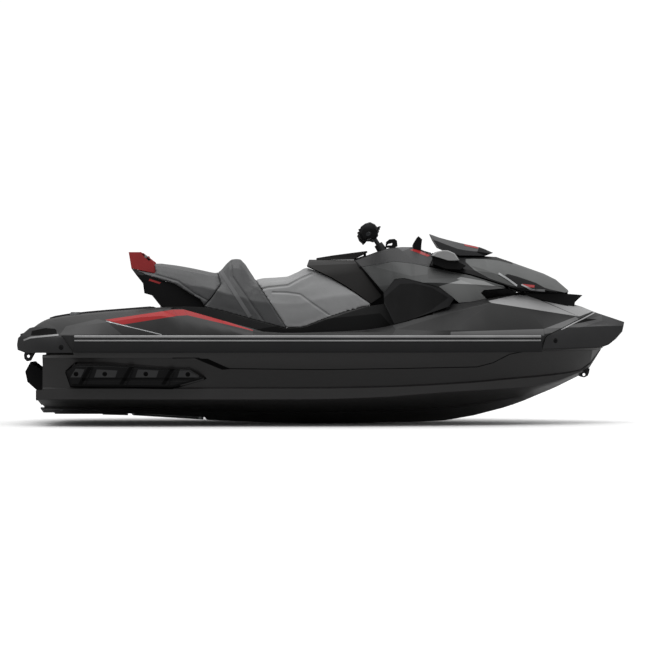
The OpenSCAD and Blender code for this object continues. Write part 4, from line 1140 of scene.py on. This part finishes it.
PUMP_HEIGHT = joints["impeller_spin"]["pos_m"][2]
BOLT_RADIUS, PLUG_RADIUS = 0.006, 0.019
AFT, FORE, UP = Vector((-1, 0, 0)), Vector((1, 0, 0)), Vector((0, 0, 1))
PLUG_HEIGHT, PLUG_BREADTH = at(0, 232).z, 0.36
SCREWS_AT = (-1490, -1390, -1290, -1205)
SCREW_BREADTH = 0.15


def ring_bolts(name, x, radius, count):
    """Steel bolts in a circle about the pump's axis, with their heads aft."""
    turns = [2 * math.pi * (k + 0.5) / count for k in range(count)]
    spots = [(Vector((x, radius * math.cos(t), PUMP_HEIGHT + radius * math.sin(t))), AFT) for t in turns]
    bolts(name, spots, BOLT_RADIUS, "steel")


ring_bolts("pump_flange_bolts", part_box("pump_housing")[1].x - 0.0122, 0.099, 8)
ring_bolts("venturi_bolts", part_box("venturi")[1].x - 0.0135, 0.096, 6)


def drain_plugs():
    """Two drain plugs on the transom."""
    tree = tree_of("hull")
    starts = [Vector((-2.5, side * PLUG_BREADTH, PLUG_HEIGHT)) for side in BOTH_SIDES]
    spots = [tree.ray_cast(start, FORE)[:2] for start in starts]
    bolts("drain_plugs", spots, PLUG_RADIUS, "black_gloss")


def ride_plate_screws():
    """Two rows of screws from below in the ride plate."""
    tree = tree_of("ride_plate")
    starts = [Vector((at(x, 0).x, side * SCREW_BREADTH, -1)) for x in SCREWS_AT for side in BOTH_SIDES]
    spots = [tree.ray_cast(start, UP)[:2] for start in starts]
    bolts("ride_plate_screws", spots, BOLT_RADIUS, "steel")


drain_plugs()
ride_plate_screws()


# ---------- camera and light

# The camera's place and the picture's width in lengths of the craft, and the sensor in mm
CAMERA_AWAY = 4.27
CAMERA_FORE = 0.0015
CAMERA_OVER_KEEL = 0.1637
PICTURE_WIDTH = 1.0828
SENSOR = 36


def add_camera():
    """A long lens from starboard, level with the craft's side."""
    middle = (cad_low + cad_high) / 2
    length = cad_high.x - cad_low.x
    camera = bpy.data.objects.new("camera", bpy.data.cameras.new("camera"))
    scene.collection.objects.link(camera)
    distance = CAMERA_AWAY * length
    camera.location = (middle.x + CAMERA_FORE * length, -distance, KEEL + CAMERA_OVER_KEEL * length)
    camera.rotation_euler = (math.pi / 2, 0, 0)
    camera.data.sensor_width = SENSOR
    camera.data.lens = SENSOR * distance / (PICTURE_WIDTH * length)
    camera.data.clip_end = 100
    scene.camera = camera


# The sun's way, its strength, and its angle in degrees, which softens the shadows
SUN_WAY, SUN_STRENGTH, SUN_ANGLE = (0.10, 0.42, -1.0), 1.1, 40


def add_sun():
    light = bpy.data.lights.new("key", "SUN")
    light.energy = SUN_STRENGTH
    light.angle = math.radians(SUN_ANGLE)
    sun = bpy.data.objects.new("key", light)
    scene.collection.objects.link(sun)
    sun.rotation_euler = Vector(SUN_WAY).to_track_quat("-Z", "Y").to_euler()


# Brightness of the room by height: 0 straight down, 0.5 level, 1 straight up
SKY = [(0.0, 0.10), (0.48, 0.16), (0.56, 0.30), (0.70, 0.52), (0.86, 0.95), (1.0, 1.25)]


def add_studio():
    """A white room: bright overhead, dimmer towards the floor, and plain white to the camera."""
    world = bpy.data.worlds.new("studio")
    world.use_nodes = True
    tree = world.node_tree
    shown = tree.nodes["Background"]
    shown.inputs["Color"].default_value = (1, 1, 1, 1)
    shown.inputs["Strength"].default_value = 1.05
    lit = tree.nodes.new("ShaderNodeBackground")
    place = tree.nodes.new("ShaderNodeTexCoord")
    split = tree.nodes.new("ShaderNodeSeparateXYZ")
    link(tree, place.outputs["Generated"], split.inputs["Vector"])
    height = calculate(tree, "MULTIPLY_ADD", split.outputs["Z"], 0.5)
    height.node.inputs[2].default_value = 0.5
    ramp = tree.nodes.new("ShaderNodeValToRGB")
    points = ramp.color_ramp.elements
    while len(points) < len(SKY):
        points.new(0.5)
    for point, (position, strength) in zip(points, SKY):
        point.position = position
        point.color = (strength, strength, strength, 1)
    link(tree, height, ramp.inputs["Fac"])
    link(tree, ramp.outputs["Color"], lit.inputs["Color"])
    path = tree.nodes.new("ShaderNodeLightPath")
    mix = tree.nodes.new("ShaderNodeMixShader")
    link(tree, path.outputs["Is Camera Ray"], mix.inputs["Fac"])
    link(tree, lit.outputs["Background"], mix.inputs[1])
    link(tree, shown.outputs["Background"], mix.inputs[2])
    link(tree, mix.outputs["Shader"], tree.nodes["World Output"].inputs["Surface"])
    scene.world = world
    scene.view_settings.view_transform = "Standard"


FLOOR_HALF = 60
# How light the floor is to the craft, and to the camera
FLOOR_LIT, FLOOR_SHOWN = 0.30, 0.98


def add_floor():
    """A plain white floor at the keel."""
    mesh = bpy.data.meshes.new("floor")
    corners = [(x * FLOOR_HALF, y * FLOOR_HALF, KEEL) for x, y in ((-1, -1), (1, -1), (1, 1), (-1, 1))]
    mesh.from_pydata(corners, [], [(0, 1, 2, 3)])
    floor = bpy.data.objects.new("floor", mesh)
    scene.collection.objects.link(floor)
    material, tree, shader = new_material("floor_paint")
    shader.inputs["Roughness"].default_value = 0.95
    shader.inputs["Specular IOR Level"].default_value = 0.0
    path = tree.nodes.new("ShaderNodeLightPath")
    mix = tree.nodes.new("ShaderNodeMix")
    mix.data_type = "RGBA"
    mix.inputs["A"].default_value = (FLOOR_LIT, FLOOR_LIT, FLOOR_LIT, 1)
    mix.inputs["B"].default_value = (FLOOR_SHOWN, FLOOR_SHOWN, FLOOR_SHOWN, 1)
    link(tree, path.outputs["Is Camera Ray"], mix.inputs["Factor"])
    link(tree, mix.outputs["Result"], shader.inputs["Base Color"])
    mesh.materials.append(material)


add_camera()
add_sun()
add_studio()
add_floor()
